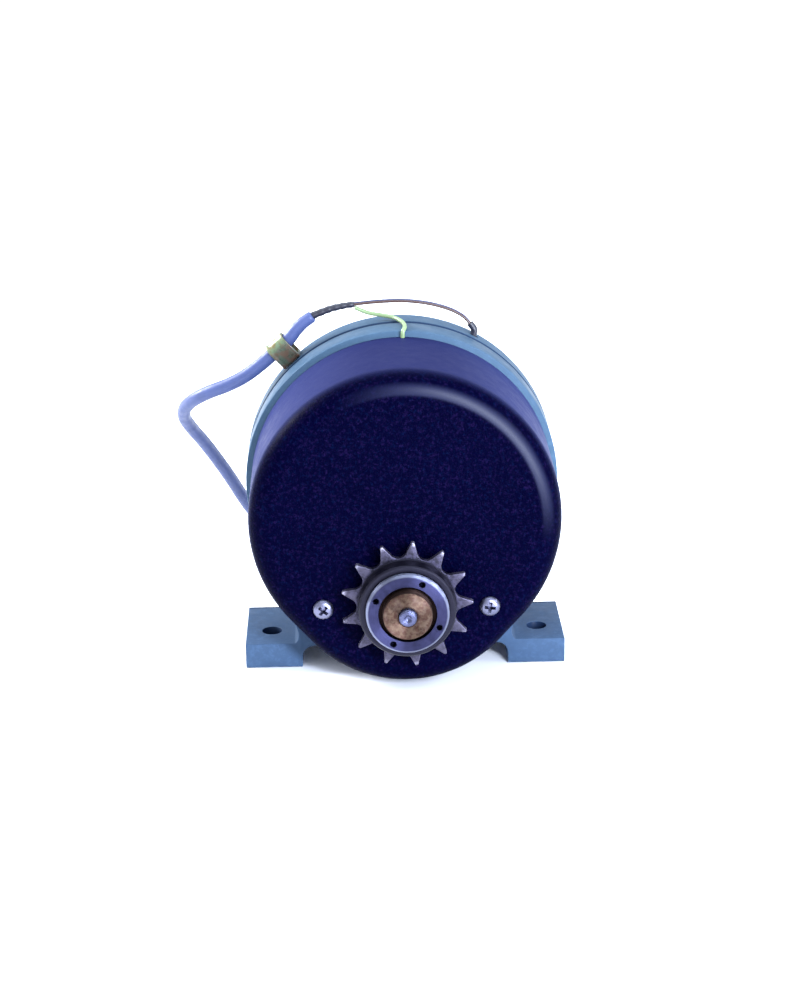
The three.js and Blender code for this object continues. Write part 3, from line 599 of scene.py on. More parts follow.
def sprocket_steel():
    """Case-hardened steel, dull violet-grey, rubbed bright along the teeth."""
    m = Nodes("sprocket_steel", (0.03, 0.026, 0.05), 0.42, 0.75)
    radius = m.radius(OUTPUT_Z)
    teeth = m.ramp_mm(radius, SHELL_R + 2, TIP_R - 0.4)
    wear = m.times(m.ramp(m.noise(330, 4, 0.7), 0.25, 0.65), teeth)
    outside = m.ramp_mm(radius, SHELL_R + 0.5, SHELL_R + 1.5, 0.0, 0.7)
    rubbed = m.math("MAXIMUM", wear, m.times(m.edges(0.51, 0.56), outside))
    oil = m.noise(430, 5, 0.75)
    base = m.mix(m.ramp(oil, 0.40, 0.60), (0.004, 0.0035, 0.010), (0.042, 0.037, 0.070))
    # painted shade: near black inside the shell's radius, next to the lock ring
    beyond = m.ramp_mm(radius, SHELL_R - 0.2, SHELL_R + 0.6)
    hub_shade = m.mix(beyond, (0.008, 0.007, 0.016), base)
    worn = m.mix(m.times(rubbed, 0.8), hub_shade, (0.088, 0.078, 0.120))
    points = m.ramp_mm(radius, TIP_R - 2.4, TIP_R - 0.4)
    tips = m.times(points, m.ramp(m.noise(420, 3), 0.42, 0.60))
    m.set_color(m.mix(m.times(tips, 0.8), worn, (0.30, 0.28, 0.36)))
    m.set_roughness(m.ramp(oil, 0.3, 0.7, 0.34, 0.55))
    m.bump((m.noise(900, 3, 0.6), 0.00004), (m.noise(160, 3), 0.00008))
    return m.material


def plastic(name, color, roughness):
    """Moulded or extruded plastic: slight mottling and a fine texture."""
    m = Nodes(name, color, roughness)
    m.set_color(m.mix(m.noise(60, 3), lighter(color, 0.86), lighter(color, 1.12)))
    m.patchy_roughness(300, roughness * 0.85, roughness * 1.15)
    m.bump((m.noise(900, 2), 0.00003))
    return m.material


def jacket_plastic():
    """Grey-blue PVC jacket with the faint lay of the cores and grime."""
    color = (0.052, 0.072, 0.185)
    m = Nodes("lead_jacket", color, 0.45, Specular_IOR_Level=0.35)
    dirt_and_shade = m.ramp(m.noise(140, 4, 0.65), 0.45, 0.75)
    m.set_color(m.mix(m.times(dirt_and_shade, 0.35), color, lighter(color, 0.55)))
    m.patchy_roughness(300, 0.38, 0.55)
    m.bump((m.noise(160, 2), 0.0001), (m.noise(1400, 2), 0.00003))
    return m.material


def zinc_plating():
    """Yellow chromate over zinc: pale green, gold and brown patches. Faces turned up are painted paler and
    faces turned down darker, as painted light.
    """
    m = Nodes("zinc_chromate", (0.12, 0.12, 0.07), 0.4, 0.35)
    patch = m.noise(220, 3, 0.6)
    lying = m.new("ShaderNodeNewGeometry").outputs["Normal"]
    split = m.new("ShaderNodeSeparateXYZ")
    m.link(lying, split.inputs[0])
    # painted light: paler where the surface faces up and towards -X, darker where it faces down
    lit_from_above = m.ramp(m.math("SUBTRACT", split.outputs["Z"], split.outputs["X"]), -0.3, 1.0)
    low = m.mix(m.ramp(patch, 0.4, 0.62), (0.022, 0.032, 0.022), (0.062, 0.030, 0.020))
    high = m.mix(m.ramp(patch, 0.4, 0.62), (0.16, 0.23, 0.13), (0.15, 0.12, 0.05))
    lit_and_shaded = m.mix(lit_from_above, low, high)
    m.set_color(m.mix(m.ramp(m.noise(420, 3), 0.55, 0.75, 0, 0.45), lit_and_shaded, (0.10, 0.045, 0.045)))
    m.patchy_roughness(500, 0.25, 0.42)
    m.bump((m.noise(1200, 3), 0.00002))
    return m.material


def winding_copper():
    """Enamelled copper wire, wound side by side."""
    m = Nodes("winding_copper", (0.42, 0.13, 0.05), 0.3, 0.85)
    radius = m.radius(MOTOR_Z)
    turns = m.math("ABSOLUTE", m.math("SINE", m.times(radius, math.pi / 0.0009)))
    m.set_color(m.mix(turns, (0.10, 0.03, 0.012), (0.50, 0.17, 0.07)))
    m.bump((turns, 0.0003), (m.noise(400, 3), 0.0002))
    return m.material


def sintered(name, color):
    """Pressed and fired grains, such as ferrite or carbon."""
    m = Nodes(name, color, 0.75)
    m.set_color(m.mix(m.noise(700, 4, 0.7), lighter(color, 0.7), lighter(color, 1.5)))
    m.bump((m.noise(1500, 3), 0.00005))
    return m.material


def cast_alloy():
    m = Nodes("cast_alloy", (0.52, 0.53, 0.55), 0.5, 0.9)
    m.set_color(m.mix(m.noise(90, 4), (0.40, 0.41, 0.43), (0.58, 0.59, 0.61)))
    m.patchy_roughness(400, 0.42, 0.62)
    m.bump((m.noise(800, 3), 0.00008))
    return m.material


COVER = cover_paint()
BLUE = blue_paint()
# The feet take a darker copy of the housing enamel, as painted shade.
FOOT_BLUE_SHADED = blue_paint("foot_enamel_shaded", (0.037, 0.065, 0.116))
SPROCKET = sprocket_steel()
RING_STEEL = ring_steel()
BRASS = turned_brass()
SHAFT = turned_metal("shaft_steel", (0.095, 0.10, 0.18), 0.28, OUTPUT_Z).material
ROTOR_STEEL = turned_metal("rotor_steel", (0.58, 0.58, 0.60), 0.25, MOTOR_Z).material
SCREW = plain_metal("screw_plating", (0.165, 0.165, 0.245), 0.34)
STEEL = plain_metal("steel", (0.50, 0.50, 0.52), 0.32)
LAMINATION = plain_metal("core_laminations", (0.24, 0.23, 0.25), 0.45, (0.02, 6, 0.02), 0.00008)
JACKET = jacket_plastic()
ZINC = zinc_plating()
COPPER = winding_copper()
COMMUTATOR = turned_metal("commutator_copper", (0.62, 0.27, 0.14), 0.25, MOTOR_Z).material
FERRITE = sintered("ferrite", (0.035, 0.035, 0.04))
CARBON = sintered("carbon", (0.02, 0.02, 0.022))
ALLOY = cast_alloy()
PHENOLIC = plastic("phenolic", (0.11, 0.045, 0.02), 0.55)
BLACK = plastic("black_plastic", (0.012, 0.012, 0.022), 0.42)
TIE = plastic("tie_nylon", (0.02, 0.02, 0.024), 0.4)
BROWN = plastic("brown_insulation", (0.045, 0.017, 0.012), 0.35)
WIRE_BLUE = plastic("blue_insulation", (0.012, 0.018, 0.080), 0.35)
EARTH_GREEN = plastic("earth_green", (0.045, 0.120, 0.040), 0.35)
EARTH_YELLOW = plastic("earth_yellow", (0.21, 0.29, 0.14), 0.35)


def paint(thing, *materials):
    thing.data.materials.clear()
    for material in materials:
        thing.data.materials.append(material)
    return thing


def place(thing, body, nodes, slot, *materials):
    """The piece rides on a body and stands for CAD nodes."""
    if materials:
        paint(thing, *materials)
    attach(thing, body)
    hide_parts(*nodes)
    return thing


# -------------------- free lead
CLIP_ANGLE = 133.1
CLIP_R = 81.9
CLIP_Y = 50
CLIP_HALF = 5
CLIP_OUT = Vector((math.cos(math.radians(CLIP_ANGLE)), 0, math.sin(math.radians(CLIP_ANGLE))))
CLIP_ALONG = Vector((CLIP_OUT.z, 0, -CLIP_OUT.x))
CLIP_SPOT = Vector((0, CLIP_Y, MOTOR_Z)) + CLIP_OUT * CLIP_R
LEAD_EXIT = CLIP_SPOT - CLIP_ALONG * CLIP_HALF

COIL_CENTRE = (0, 112)
COIL_OUTER = 46.5
COIL_INNER = 26.25
COIL_TURNS = 3
ON_COIL_Z = 10.2
HANGING = [
    (-66, 50.2, 130.9), (-73, 50.8, 125.7), (-81, 52.4, 121.2), (-90, 55.5, 117), (-98, 61.5, 111.5),
    (-103.2, 70.5, 104.5), (-104.2, 81, 96.5), (-101.5, 91.5, 87.5), (-96.5, 101.5, 77), (-91, 111, 65),
    (-85.5, 120, 52.5), (-80.5, 128.5, 40), (-75, 136.5, 28), (-68.5, 143.8, 17.5), (-60, 150.2, 9.2),
    (-49, 154.7, 4.5), (-37, 157.2, CABLE_R), (-29, 158, CABLE_R), (-12, 158.25, CABLE_R),
]


def over_coil(radius, degrees, z):
    return (*around(radius, degrees, *COIL_CENTRE), z)


def lead_route():
    """From the clip down to the floor, three turns inwards, up on to the coil and out to the plug."""
    points = [tuple(LEAD_EXIT), *HANGING]
    pitch = (COIL_OUTER - COIL_INNER) / COIL_TURNS
    step = 15
    for k in range(COIL_TURNS * 360 // step + 1):
        points.append(over_coil(COIL_OUTER - pitch * k * step / 360, 85 - k * step, CABLE_R))
    for k in range(1, 6):
        t = k / 5
        z = CABLE_R + (ON_COIL_Z - CABLE_R) * (3 * t**2 - 2 * t**3)
        points.append(over_coil(COIL_INNER + 0.65 * t, 85 - 77 * t, z))
    for k in range(1, 9):
        out = k / 8
        radius = 26.9 + 9.1 * out * out * (3 - 2 * out)
        points.append(over_coil(radius, 8 - 118 * k / 8, ON_COIL_Z))
    return points


LEAD_LINE = smooth_line(lead_route(), 2.5)
lead = hose("free_lead", LEAD_LINE, CABLE_R, 16)
place(lead, "housing", ["motor_cable", "cable_coil", "cable_tail"], "jacket", JACKET)


def plug():
    """A plain three-way plug, made pointing along +X from the end of the lead."""
    boot = []
    for k in range(9):
        boot.append((CABLE_R + 0.05 + (0.15 if k % 2 else -0.03), k))
    profile = [(0, 0.4), *[(r, 0.6 + y) for r, y in boot], (0, 9)]
    relief = turned("relief", rounded(profile, 0.3), 0, 0, 24)
    rotate(relief, -90, "Z")
    shell = block("shell", 8.6, 31, -7.5, 7.5, -3.2, 6.8)
    bevel(shell, 1.0, 3)
    ribs = [block("rib", 12 + 3 * k, 13.4 + 3 * k, -7.5, 7.5, -3.15, 6.85) for k in range(4)]
    for rib in ribs:
        bevel(rib, 0.3, 1)
    nose = block("nose", 30, 35, -6, 6, -1.8, 5.4)
    slots = [block("slot", 32, 36, y - 1.1, y + 1.1, 0.7, 2.9) for y in (-4, 0, 4)]
    boolean(nose, slots)
    bevel(nose, 0.35, 2)
    latch = block("latch", 20, 30, -2.2, 2.2, 6.2, 6.75)
    whole = join("lead_plug", [relief, shell, nose, latch, *ribs])
    end = LEAD_LINE[-1]
    heading = math.atan2(end.y - LEAD_LINE[-2].y, end.x - LEAD_LINE[-2].x)
    whole.data.transform(Matrix.Translation(end * MM) @ Matrix.Rotation(heading, 4, "Z"))
    return whole


def coil_tie(degrees):
    """A narrow nylon tie round the three turns."""
    half_width, thick = 1.6, 0.55
    low, high = 0.02, 2 * CABLE_R + thick + 0.1
    inner, outer = COIL_INNER - CABLE_R - 0.6, COIL_OUTER + CABLE_R - 0.3
    outline = rounded([(inner, low), (outer, low), (outer, high), (inner, high)], 2.2, 5, True)
    hollow = rounded(
        [(inner + thick, low + thick), (outer - thick, low + thick), (outer - thick, high - thick),
         (inner + thick, high - thick)], 1.8, 5, True,
    )
    band = slab("band", outline, -half_width, half_width)
    boolean(band, [slab("hollow", hollow, -half_width - 1, half_width + 1)])
    head = block("head", outer - 6, outer - 1.5, -2.2, 2.2, high - 0.8, high + 1.6)
    bevel(head, 0.4, 2)
    tie = join("coil_tie", [band, head])
    centre = Matrix.Translation(Vector((*COIL_CENTRE, 0)) * MM)
    tie.data.transform(centre @ Matrix.Rotation(math.radians(degrees), 4, "Z"))
    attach(tie, "housing")
    return paint(tie, TIE)


lead_plug = place(plug(), "housing", ["cable_connector"], "black_plastic", BLACK)
lead_tie = coil_tie(60)


# -------------------- gear cover
def egg(top_radius, inset):
    """Two circles and the straight lines that touch both, as (x, z) points."""
    slope = math.degrees(math.asin((top_radius - LOBE_R) / (MOTOR_Z - LOBE_Z)))
    top, lobe = 120, 60
    points = []
    for i in range(top + 1):
        angle = -slope + (180 + 2 * slope) * i / top
        points.append(around(top_radius - inset, angle, 0, MOTOR_Z))
    for i in range(lobe + 1):
        angle = 180 + slope + (180 - 2 * slope) * i / lobe
        points.append(around(LOBE_R - inset, angle, 0, LOBE_Z))
    return points


def rounded_egg(name, y0, y1, inset, radius, steps):
    sections = []
    for i in range(steps + 1):
        a = math.pi / 2 * i / steps
        pull = inset + radius * (1 - math.sin(a))
        sections.append((y0 + radius * (1 - math.cos(a)), egg(COVER_R, pull)))
    sections += [(y, egg(COVER_R, inset)) for y in (-10, 8, y1 - 0.4)]
    sections.append((y1, egg(COVER_R, inset + 0.4)))
    return loft(name, sections, 60)


def gear_cover():
    shell = rounded_egg("cover_visual", FACE_Y, SEAM_Y - 0.3, 0, COVER_FILLET, 14)
    hollow = rounded_egg("hollow", FACE_Y + 4.5, SEAM_Y + 2, 4, 7, 5)
    boolean(shell, [hollow])
    boss = turned("boss", [(17.9, -34), (21.3, -34), (21.3, -24.3), (17.9, -24.3)], 0, OUTPUT_Z)
    collar_cut = rod("opening", 10.5, FACE_Y - 1, FACE_Y + 9, 0, OUTPUT_Z)
    holes = [rod("hole", 2.4, FACE_Y - 1, FACE_Y + 8, s * POST_X, POST_Z, 24) for s in (-1, 1)]
    notch = upright("notch", 1.35, 1.1, 25.3, MOTOR_Z + 62, MOTOR_Z + 75)
    boolean(shell, [collar_cut, notch, *holes], smooth=40)
    return join("cover_visual", [shell, boss])


cover = gear_cover()
place(cover, "housing", ["gear_cover"], "cover_paint", COVER)
shade(cover.data, 40)


# -------------------- housing ring and rear cover
def chamfered_egg(name, y0, y1, size):
    return loft(name, [
        (y0, egg(HOUSING_R, size)),
        (y0 + size * 0.4, egg(HOUSING_R, size * 0.25)),
        (y0 + size, egg(HOUSING_R, 0)),
        (y1 - size, egg(HOUSING_R, 0)),
        (y1, egg(HOUSING_R, size)),
    ], 50)


def housing():
    flange = chamfered_egg("housing_visual", SEAM_Y, SEAM_Y + 3.4, 0.5)
    bore = rod("bore", 63.3, SEAM_Y - 1, SEAM_Y + 5, 0, MOTOR_Z, 96)
    boolean(flange, [bore])
    ring = turned("ring", [
        (63.2, SEAM_Y - 3), (65.4, SEAM_Y - 3), (65.4, SEAM_Y + 0.3), (72.9, SEAM_Y + 1),
        (HOUSING_R, SEAM_Y + 2), (HOUSING_R, JOINT_Y - 1.8), (HOUSING_R - 0.2, JOINT_Y - 1.4),
        (HOUSING_R - 1.4, JOINT_Y - 0.3), (63.2, JOINT_Y - 0.3),
    ], 0, MOTOR_Z, 192, 40)
    return join("housing_visual", [flange, ring])


place(housing(), "housing", ["motor_housing"], "blue_paint", BLUE)

BOLTS = [around(BOLT_CIRCLE_R, a, 0, MOTOR_Z) for a in (45, 135, 225, 315)]
ENTRY = Vector((36.6, 66.5)).normalized()  # where the two cores enter, as (x, z) from the motor's axis
ENTRY_Y = 50


def rear_cover():
    outside = rounded([
        (HOUSING_R - 0.2, JOINT_Y + 1.4), (HOUSING_R, JOINT_Y + 1.8), (HOUSING_R, BACK_Y), (27, BACK_Y),
        (23.5, BACK_Y - 0.6), (20.8, CAP_Y), (0, CAP_Y),
    ], 2.6, 6)
    profile = [
        (0, 58.2), (15.3, 58.2), (15.3, 49), (17.9, 49), (17.9, 54.4), (60, 54.4), (60, 48), (67.5, 48),
        (67.5, JOINT_Y + 0.3), (HOUSING_R - 1.4, JOINT_Y + 0.3), *outside,
    ]
    bell = turned("rear_cover_visual", profile, 0, MOTOR_Z, 192, 40)
    entry = upright("entry", 2.2, 0, 0, 60, 80)
    tilt = math.atan2(ENTRY.x, ENTRY.y)
    entry.data.transform(Matrix.Rotation(tilt, 4, "Y"))
    move(entry, (0, ENTRY_Y, MOTOR_Z))
    seats = [rod("seat", 2.9, 40, 62, x, z, 24) for x, z in BOLTS]
    spots = [rod("spot", 6.2, BACK_Y - 0.35, 62, x, z, 40) for x, z in BOLTS]
    boolean(bell, [entry, *seats, *spots], smooth=35)
    return bell


place(rear_cover(), "housing", ["rear_cover"], "blue_paint", BLUE)


# -------------------- feet
FOOT_OUTER = 74.45
FOOT_FRONT = -4.1
FOOT_BACK = 42.7


def quarter(start, corner, end):
    """A soft curve from start to end that bends towards the corner."""
    a, b, c = (Vector(p) for p in (start, corner, end))
    shares = [i / 8 for i in range(9)]
    return [tuple(a * (1 - t) ** 2 + b * 2 * t * (1 - t) + c * t * t) for t in shares]


def foot(side, name):
    ring = HOUSING_R + 0.4

    def on_ring(x):
        return MOTOR_Z - math.sqrt(ring**2 - x**2)

    outline = [(FOOT_OUTER, 0), (FOOT_OUTER, FOOT_TOP)]
    outline += quarter((51.8, FOOT_TOP), (49.4, FOOT_TOP + 0.7), (49.6, FOOT_TOP + 5))
    outline += [(53 - 15.5 * i / 12, on_ring(53 - 15.5 * i / 12) - (0.2 if i else 0)) for i in range(13)]
    outline += [(37.5, 10.5), (41.4, 10.5)]
    outline += quarter((41.4, 10.5), (47.9, 10.5), (47.9, 4.0))[1:]
    outline += [(47.9, 0)]
    casting = slab(name, [(side * x, z) for x, z in outline], FOOT_FRONT, FOOT_BACK)
    bevel(casting, 0.55, 3, 40)
    hole = turned("hole", [
        (0, -5), (4.9, -5), (4.9, 0.0), (FOOT_HOLE_R, 0.3),
        (FOOT_HOLE_R, FOOT_TOP - 0.2), (4.8, FOOT_TOP), (4.8, 16), (0, 16),
    ], segments=48)
    return boolean(casting, [stand_up(hole, side * FOOT_HOLE[0], FOOT_HOLE[1])], smooth=45)


for side, node in ((-1, "foot_left"), (1, "foot_right")):
    place(foot(side, node + "_visual"), "housing", [node], "blue_paint", FOOT_BLUE_SHADED)


# -------------------- screws and bolts
def cross_screw(name, x, z, turn):
    top = FACE_Y - 0.3
    dome = [
        (0, top - 2.5), (1.2, top - 2.46), (2.3, top - 2.28), (3.3, top - 1.95), (4.1, top - 1.4),
        (4.55, top - 0.7), (4.7, top - 0.2), (4.6, top), (1.95, top), (1.95, top + 13.5), (0, top + 14.5),
    ]
    screw = turned(name, dome, x, z, 64, 40)
    bars = []
    for k in range(2):
        wings = [(-2.5, -0.72), (2.5, -0.72), (2.5, 0.72), (-2.5, 0.72)]
        narrow = [(px * 0.3, pz * 0.5) for px, pz in wings]
        bar = loft("bar", [(-3.2, wings), (-1.95, wings), (0.4, narrow)])
        rotate(bar, turn + 90 * k, "Y")
        move(bar, (x, top, z))
        bars.append(bar)
    return boolean(screw, bars, smooth=35)


for side, node, turn in ((-1, "cover_screw_left", 40), (1, "cover_screw_right", 8)):
    place(cross_screw(node + "_visual", side * POST_X, POST_Z, turn), "housing", [node], "steel", SCREW)

for i, (x, z) in enumerate(BOLTS):
    hexagon = [around(4.5, a + 17 * i, x, z) for a in range(0, 360, 60)]
    head = slab("head", hexagon, BACK_Y + 0.3, CAP_Y)
    crown = turned("crown", [(0, 50), (5, 50), (5, CAP_Y - 0.7), (4.0, CAP_Y), (0, CAP_Y)], x, z, 48)
    boolean(head, [crown], "INTERSECT")
    shank = rod("shank", 2.5, -8.4, BACK_Y + 0.6, x, z, 24)
    bolt = join(f"through_bolt_{i + 1}_visual", [head, shank])
    place(bolt, "housing", [f"through_bolt_{i + 1}"], "steel", SCREW)


# -------------------- freewheel and shaft end
TEETH = 13
CHAIN_PITCH = 12.7
PITCH_R = CHAIN_PITCH / (2 * math.sin(math.pi / TEETH))
ROLLER_R = 4.1
FIRST_TIP = 84.3  # degrees


def sprocket_outline():
    """Round roller seats between long pointed teeth with slightly hollow flanks."""
    points = []
    for k in range(TEETH):
        tooth = FIRST_TIP + k * 360 / TEETH
        for offset in (-0.022, -0.011, 0.011, 0.022):
            r = TIP_R - (0.25 if abs(offset) > 0.02 else 0)
            points.append(around(r, tooth + math.degrees(offset), 0, OUTPUT_Z))
        seat = tooth + 180 / TEETH
        roller = around(PITCH_R, seat, 0, OUTPUT_Z)
        points += [around(ROLLER_R, seat - 180 + 64 * (1 - i / 8), *roller) for i in range(17)]
    return points


def sprocket():
    plate = slab("sprocket_visual", sprocket_outline(), TOOTH_Y - 1.5, TOOTH_Y + 1.5)
    bevel(plate, 0.42, 2, 50, 40)
    profile = rounded([
        (18.5, -52), (20.9, -52), (21.6, -51.3), (21.6, -44.6), (SHELL_R, -44.2), (SHELL_R, -40.8),
        (21.6, -39.4), (18.5, -39.4),
    ], 0.35, 3, True)
    shell = turned("shell", profile, 0, OUTPUT_Z, 120)
    bore = rod("bore", 18.6, -60, -30, 0, OUTPUT_Z, 96)
    boolean(plate, [bore])
    return join("sprocket_visual", [plate, shell])


place(sprocket(), "sprocket", ["freewheel_sprocket"], "dark_steel", SPROCKET)


def lock_ring():
    profile = rounded([
        (12.9, LOCK_Y), (17.4, LOCK_Y), (LOCK_R, -54.5), (LOCK_R, -52.3), (14.4, -52.3), (13.6, -53),
        (12.9, -53),
    ], 0.3, 3, True)
    ring = turned("lock_ring_visual", profile, 0, OUTPUT_Z, 120)
    holes = []
    for a in (65, 155, 245, 335):
        drill = [(0, -60), (1.6, -60), (1.6, -55.65), (1.2, -55.2), (1.2, -53.1), (0, -53.1)]
        holes.append(turned("hole", drill, *around(15.4, a, 0, OUTPUT_Z), 24))
    return boolean(ring, holes)


place(lock_ring(), "output", ["freewheel_lock_ring"], "steel", RING_STEEL)

nose = rounded([
    (4.2, -58.0), (5.0, ADAPTOR_Y), (10.3, ADAPTOR_Y), (10.85, -57.8), (11.0, -55.2), (11.3, -54.9),
    (11.3, -51.6), (14.8, -51.2), (14.8, -39.8), (18, -39.8), (18, -38.2), (6.3, -38.2), (6.3, -54.7),
    (4.2, -54.7),
], 0.3, 3, True)
place(turned("hub_adaptor_visual", nose, 0, OUTPUT_Z, 96), "output", ["hub_adaptor"], "brass", BRASS)


def output_shaft():
    blank = turned("output_shaft_visual", rounded([
        (0, -58.9), (1.1, -59.6), (1.9, SHAFT_END_Y), (3.3, SHAFT_END_Y), (3.9, -59.8), (3.9, -54.5),
        (6, -54.2), (6, -37.2), (7.3, -37), (7.3, -36.4), (6.6, -36.4), (6.6, -35.3), (7.5, -35.3),
        (7.5, -23.2), (8.5, -23.2), (8.5, -12.8), (7.2, -12.8), (7.2, -10.2), (5.9, -10.2), (5.9, -1.6),
        (0, -1.6),
    ], 0.12, 2), 0, OUTPUT_Z, 64)
    keyway = block("keyway", -2.25, 2.25, -22.25, -13.75, OUTPUT_Z + 5.7, OUTPUT_Z + 12)
    return boolean(blank, [keyway])


place(output_shaft(), "output", ["output_shaft"], "steel", SHAFT)


# -------------------- held lead: clip, jacket end, cores
def at_clip(thing):
    """Moves a piece whose X runs along the lead and whose Z points away from the motor to the clip."""
    turn = Matrix.Rotation(math.radians(90 - CLIP_ANGLE), 4, "Y")
    thing.data.transform(Matrix.Translation(CLIP_SPOT * MM) @ turn)
    return thing


PAD_Z = -(CLIP_R - HOUSING_R) + 0.3


def strap_outline(radius, bottom, corner):
    """An arch over the lead that runs straight down to a base, as points across the lead."""
    arch = [around(radius, 180 * i / 24) for i in range(25)]
    base = rounded([(-radius, 0), (-radius, bottom), (radius, bottom), (radius, 0)], corner, 4)
    return [*arch, *base[1:-1]]


def cable_clip():
    """A plated strap arched over the lead and bent under it, with its rims pressed outwards."""
    sections = []
    for x, swell in ((-5, -0.1), (-4.8, 0.05), (-4.2, 0.05), (-3.6, -0.25), (-1.8, -0.12), (0, -0.08),
                     (1.8, -0.12), (3.6, -0.25), (4.2, 0.05), (4.8, 0.05), (5, -0.1)):
        sections.append((x, strap_outline(CABLE_R + 1.55 + swell, PAD_Z - swell, 0.9)))
    strap = loft("cable_clip_visual", sections, 40)
    hollow = slab("hollow", strap_outline(CABLE_R + 0.3, PAD_Z + 1.3, 0.5), -CLIP_HALF - 1, CLIP_HALF + 1)
    boolean(strap, [hollow], smooth=40)
    rotate(strap, 90, "Z")
    hole = upright("hole", 1.8, 0, 0, PAD_Z - 2, PAD_Z + 2)
    return at_clip(boolean(strap, [hole], smooth=40))


place(cable_clip(), "housing", ["cable_clip"], "zinc_yellow", ZINC)


def clip_screw():
    seat = PAD_Z + 1.6
    head = turned("clip_screw_visual", [
        (0, -seat - 1.5), (1.5, -seat - 1.35), (2.2, -seat - 0.8), (2.3, -seat - 0.1), (2.2, -seat),
        (0, -seat),
    ], 0, 0, 32)
    slot_cut = block("slot", -3, 3, -seat - 2.5, -seat - 0.8, -0.3, 0.3)
    boolean(head, [slot_cut])
    rotate(head, -90, "X")
    return at_clip(head)


place(clip_screw(), "housing", ["clip_screw"], "steel", STEEL)


def at_y(points):
    """(x, z) or (x, z, y) points as vectors. Without a y they lie in the clip's plane."""
    return [Vector((p[0], p[2] if len(p) > 2 else CLIP_Y, p[1])) for p in points]


CLIP_END = CLIP_SPOT + CLIP_ALONG * (CLIP_HALF + 1)
held_line = [CLIP_SPOT - CLIP_ALONG * (CLIP_HALF - 0.3), CLIP_SPOT, CLIP_END,
             *at_y([(-48.6, 147.7), (-44.9, 151.4), (-40.2, 154.6)])]
held = smooth_line(held_line, 0.8)


def jacket_end(t):
    narrowed = 1 - 0.11 * min(1.0, max(0.0, (t - 0.45) / 0.4))
    return CABLE_R * narrowed * (1 - 0.25 * max(0.0, (t - 0.955) / 0.045) ** 2)


place(hose("lead_jacket_visual", held, jacket_end, 24), "housing", ["lead_jacket"], "jacket", JACKET)

sleeve_line = smooth_line(at_y([(-40.3, 154.75), (-32.2, 157.8), (-25.5, 159.3), (-20.6, 159.9)]), 0.6)


def sleeve_radius(t):
    return 1.75 - 0.35 * t + 0.09 * math.sin(37 * t) + 0.05 * math.sin(83 * t)


lead_sleeve = hose("lead_sleeve_visual", sleeve_line, sleeve_radius, 16)
place(lead_sleeve, "housing", ["lead_sleeve"], "black_plastic", BLACK)

TOP_ROUTE = [
    (-20.8, 160), (-10.6, 160.9), (0.6, 161.2), (7.6, 160.7), (16.5, 159.1), (25.3, 156.1), (30.6, 152.8),
    (33.2, 149.9),
]
for node, dy, dz, slot, material in (
    ("brown_wire", -0.75, -0.05, "brown_insulation", BROWN),
    ("blue_wire", 0.75, 0.2, "blue_insulation", WIRE_BLUE),
):
    line = smooth_line([p + Vector((0, dy, dz)) for p in at_y(TOP_ROUTE)], 0.8)
    place(hose(node + "_visual", line, 0.6, 12), "housing", [node], slot, material)

entry_end = (ENTRY.x * 70.5, MOTOR_Z + ENTRY.y * 70.5)
entry_line = smooth_line(at_y([(33.3, 149.8), (35.3, 146.6), entry_end]), 0.5)
entry_sleeve = hose("entry_sleeve_visual", entry_line, 1.6, 16)
place(entry_sleeve, "housing", ["entry_sleeve"], "black_plastic", BLACK)

earth_line = smooth_line(at_y([
    (-20.6, 158.4), (-14.5, 155.9, 49.5), (-8, 155, 48), (-2.6, 154.7, 44.5), (0.9, 154.4, 38.5),
    (2.1, 154.3, 33), (2.1, 154.2, 27.4), (1.7, 153.8, 25.9), (1.3, 153, 25.4), (1.1, 150, 25.3),
    (1.1, 147.2, 25.3),
]), 0.6)
earth = hose("earth_wire_visual", earth_line, 0.95, 16, stripes=(0, 1, 2, 8, 9, 10))
place(earth, "housing", ["earth_wire"], "earth_insulation", EARTH_YELLOW, EARTH_GREEN)


# -------------------- brush springs
BRUSH_Y = 44
SPRING_IN, SPRING_OUT = 30.4, 39.6  # from the motor's axis to the brush and to the holder's end
SPRING_R, SPRING_TURNS, SPRING_WIRE = 2.3, 3.5, 0.4


def brush_spring(name, side):
    """Round wire wound about the brush's line."""
    line = []
    steps = 112
    for i in range(steps + 1):
        x, y = around(SPRING_R, 360 * SPRING_TURNS * i / steps, 0, BRUSH_Y)
        out = SPRING_IN + SPRING_WIRE + (SPRING_OUT - SPRING_IN - 2 * SPRING_WIRE) * i / steps
        line.append(Vector((x, y, MOTOR_Z + side * out)))
    return hose(name, line, SPRING_WIRE, 12)


for side, end in ((1, "upper"), (-1, "lower")):
    node = f"{end}_brush_spring"
    spring = place(brush_spring(node + "_visual", side), "housing", [node], "steel", STEEL)
    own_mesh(spring)


# -------------------- inner pieces keep their CAD shapes
INNER = {
    "bearing_plate": ALLOY,
    "yoke": STEEL,
    "magnet_1": FERRITE, "magnet_2": FERRITE, "magnet_3": FERRITE, "magnet_4": FERRITE,
    "armature_core": LAMINATION,
    "armature_winding": COPPER,
    "commutator": COMMUTATOR,
    "rotor_shaft": ROTOR_STEEL,
    "rotor_pinion": ROTOR_STEEL,
    "brush_ring": PHENOLIC,
    "upper_brush": CARBON, "lower_brush": CARBON,
    "output_gear": SPROCKET,
    "gear_key": STEEL,
    "shaft_circlip": STEEL,
    "freewheel_core": SPROCKET,
    "pawl_1": STEEL, "pawl_2": STEEL,
}
for shaft in ("rotor", "output"):
    for end in ("front", "rear"):
        for ring in ("outer", "inner"):
            INNER[f"{shaft}_{end}_bearing_{ring}_ring"] = ROTOR_STEEL if shaft == "rotor" else SHAFT
for node, material in INNER.items():
    paint(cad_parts[node], material)


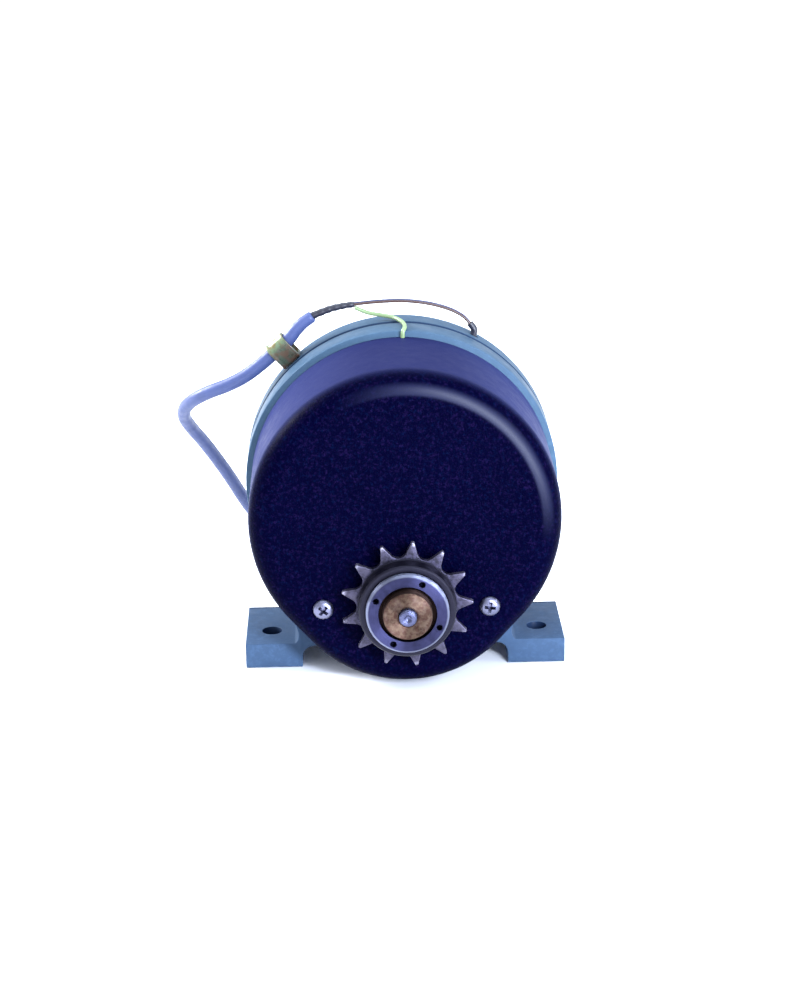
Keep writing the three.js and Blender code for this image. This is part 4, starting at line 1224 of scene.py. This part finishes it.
# -------------------- floor, light
def floor():
    m = Nodes("studio_floor", (0.88, 0.88, 0.89), 0.8, Specular_IOR_Level=0.05)
    m.set_color(m.mix(m.noise(3, 2), (0.87, 0.87, 0.88), (0.89, 0.89, 0.90)))
    corners = [(-8, -3), (8, -3), (8, 14), (-8, 14)]
    mesh = bpy.data.meshes.new("floor")
    mesh.from_pydata([(x, y, FLOOR_Z * MM) for x, y in corners], [], [[0, 1, 2, 3]])
    thing = bpy.data.objects.new("floor", mesh)
    bpy.context.scene.collection.objects.link(thing)
    paint(thing, m.material)


def softbox(name, place_m, aim_m, size, power, color, upright_m=(0, 0, 1)):
    """An area light whose height lies along the upright direction."""
    lamp = bpy.data.lights.new(name, "AREA")
    lamp.shape = "RECTANGLE"
    lamp.size, lamp.size_y = size
    lamp.energy = power
    lamp.color = color
    back = (Vector(place_m) - Vector(aim_m)).normalized()
    side = Vector(upright_m).cross(back).normalized()
    thing = bpy.data.objects.new(name, lamp)
    rotation = Matrix((side, back.cross(side), back)).transposed().to_4x4()
    thing.matrix_world = Matrix.Translation(Vector(place_m)) @ rotation
    bpy.context.scene.collection.objects.link(thing)


floor()
softbox(
    "window", (0.56, -0.97, 0.38), (0, -0.03, 0.08), (0.12, 1.0), 40, (0.74, 0.83, 1.0), (-0.44, -0.2, 0.58),
)
softbox("left", (-1.15, 0.60, 0.70), (0, 0.0, 0.1), (0.6, 0.5), 48, (0.92, 0.94, 1.0))
softbox("right", (1.0, -0.27, 0.68), (0, -0.05, 0.05), (0.25, 0.25), 5, (0.80, 0.88, 1.0))
softbox("top", (0, 0.3, 1.7), (0, 0.1, 0.1), (1.6, 1.6), 30, (0.72, 0.86, 1.0), (0, 1, 0))

world = bpy.data.worlds.new("studio")
world.use_nodes = True
world.node_tree.nodes["Background"].inputs["Color"].default_value = (0.86, 0.92, 1.0, 1)
world.node_tree.nodes["Background"].inputs["Strength"].default_value = 1.3
bpy.context.scene.world = world
bpy.context.scene.view_settings.view_transform = "Standard"
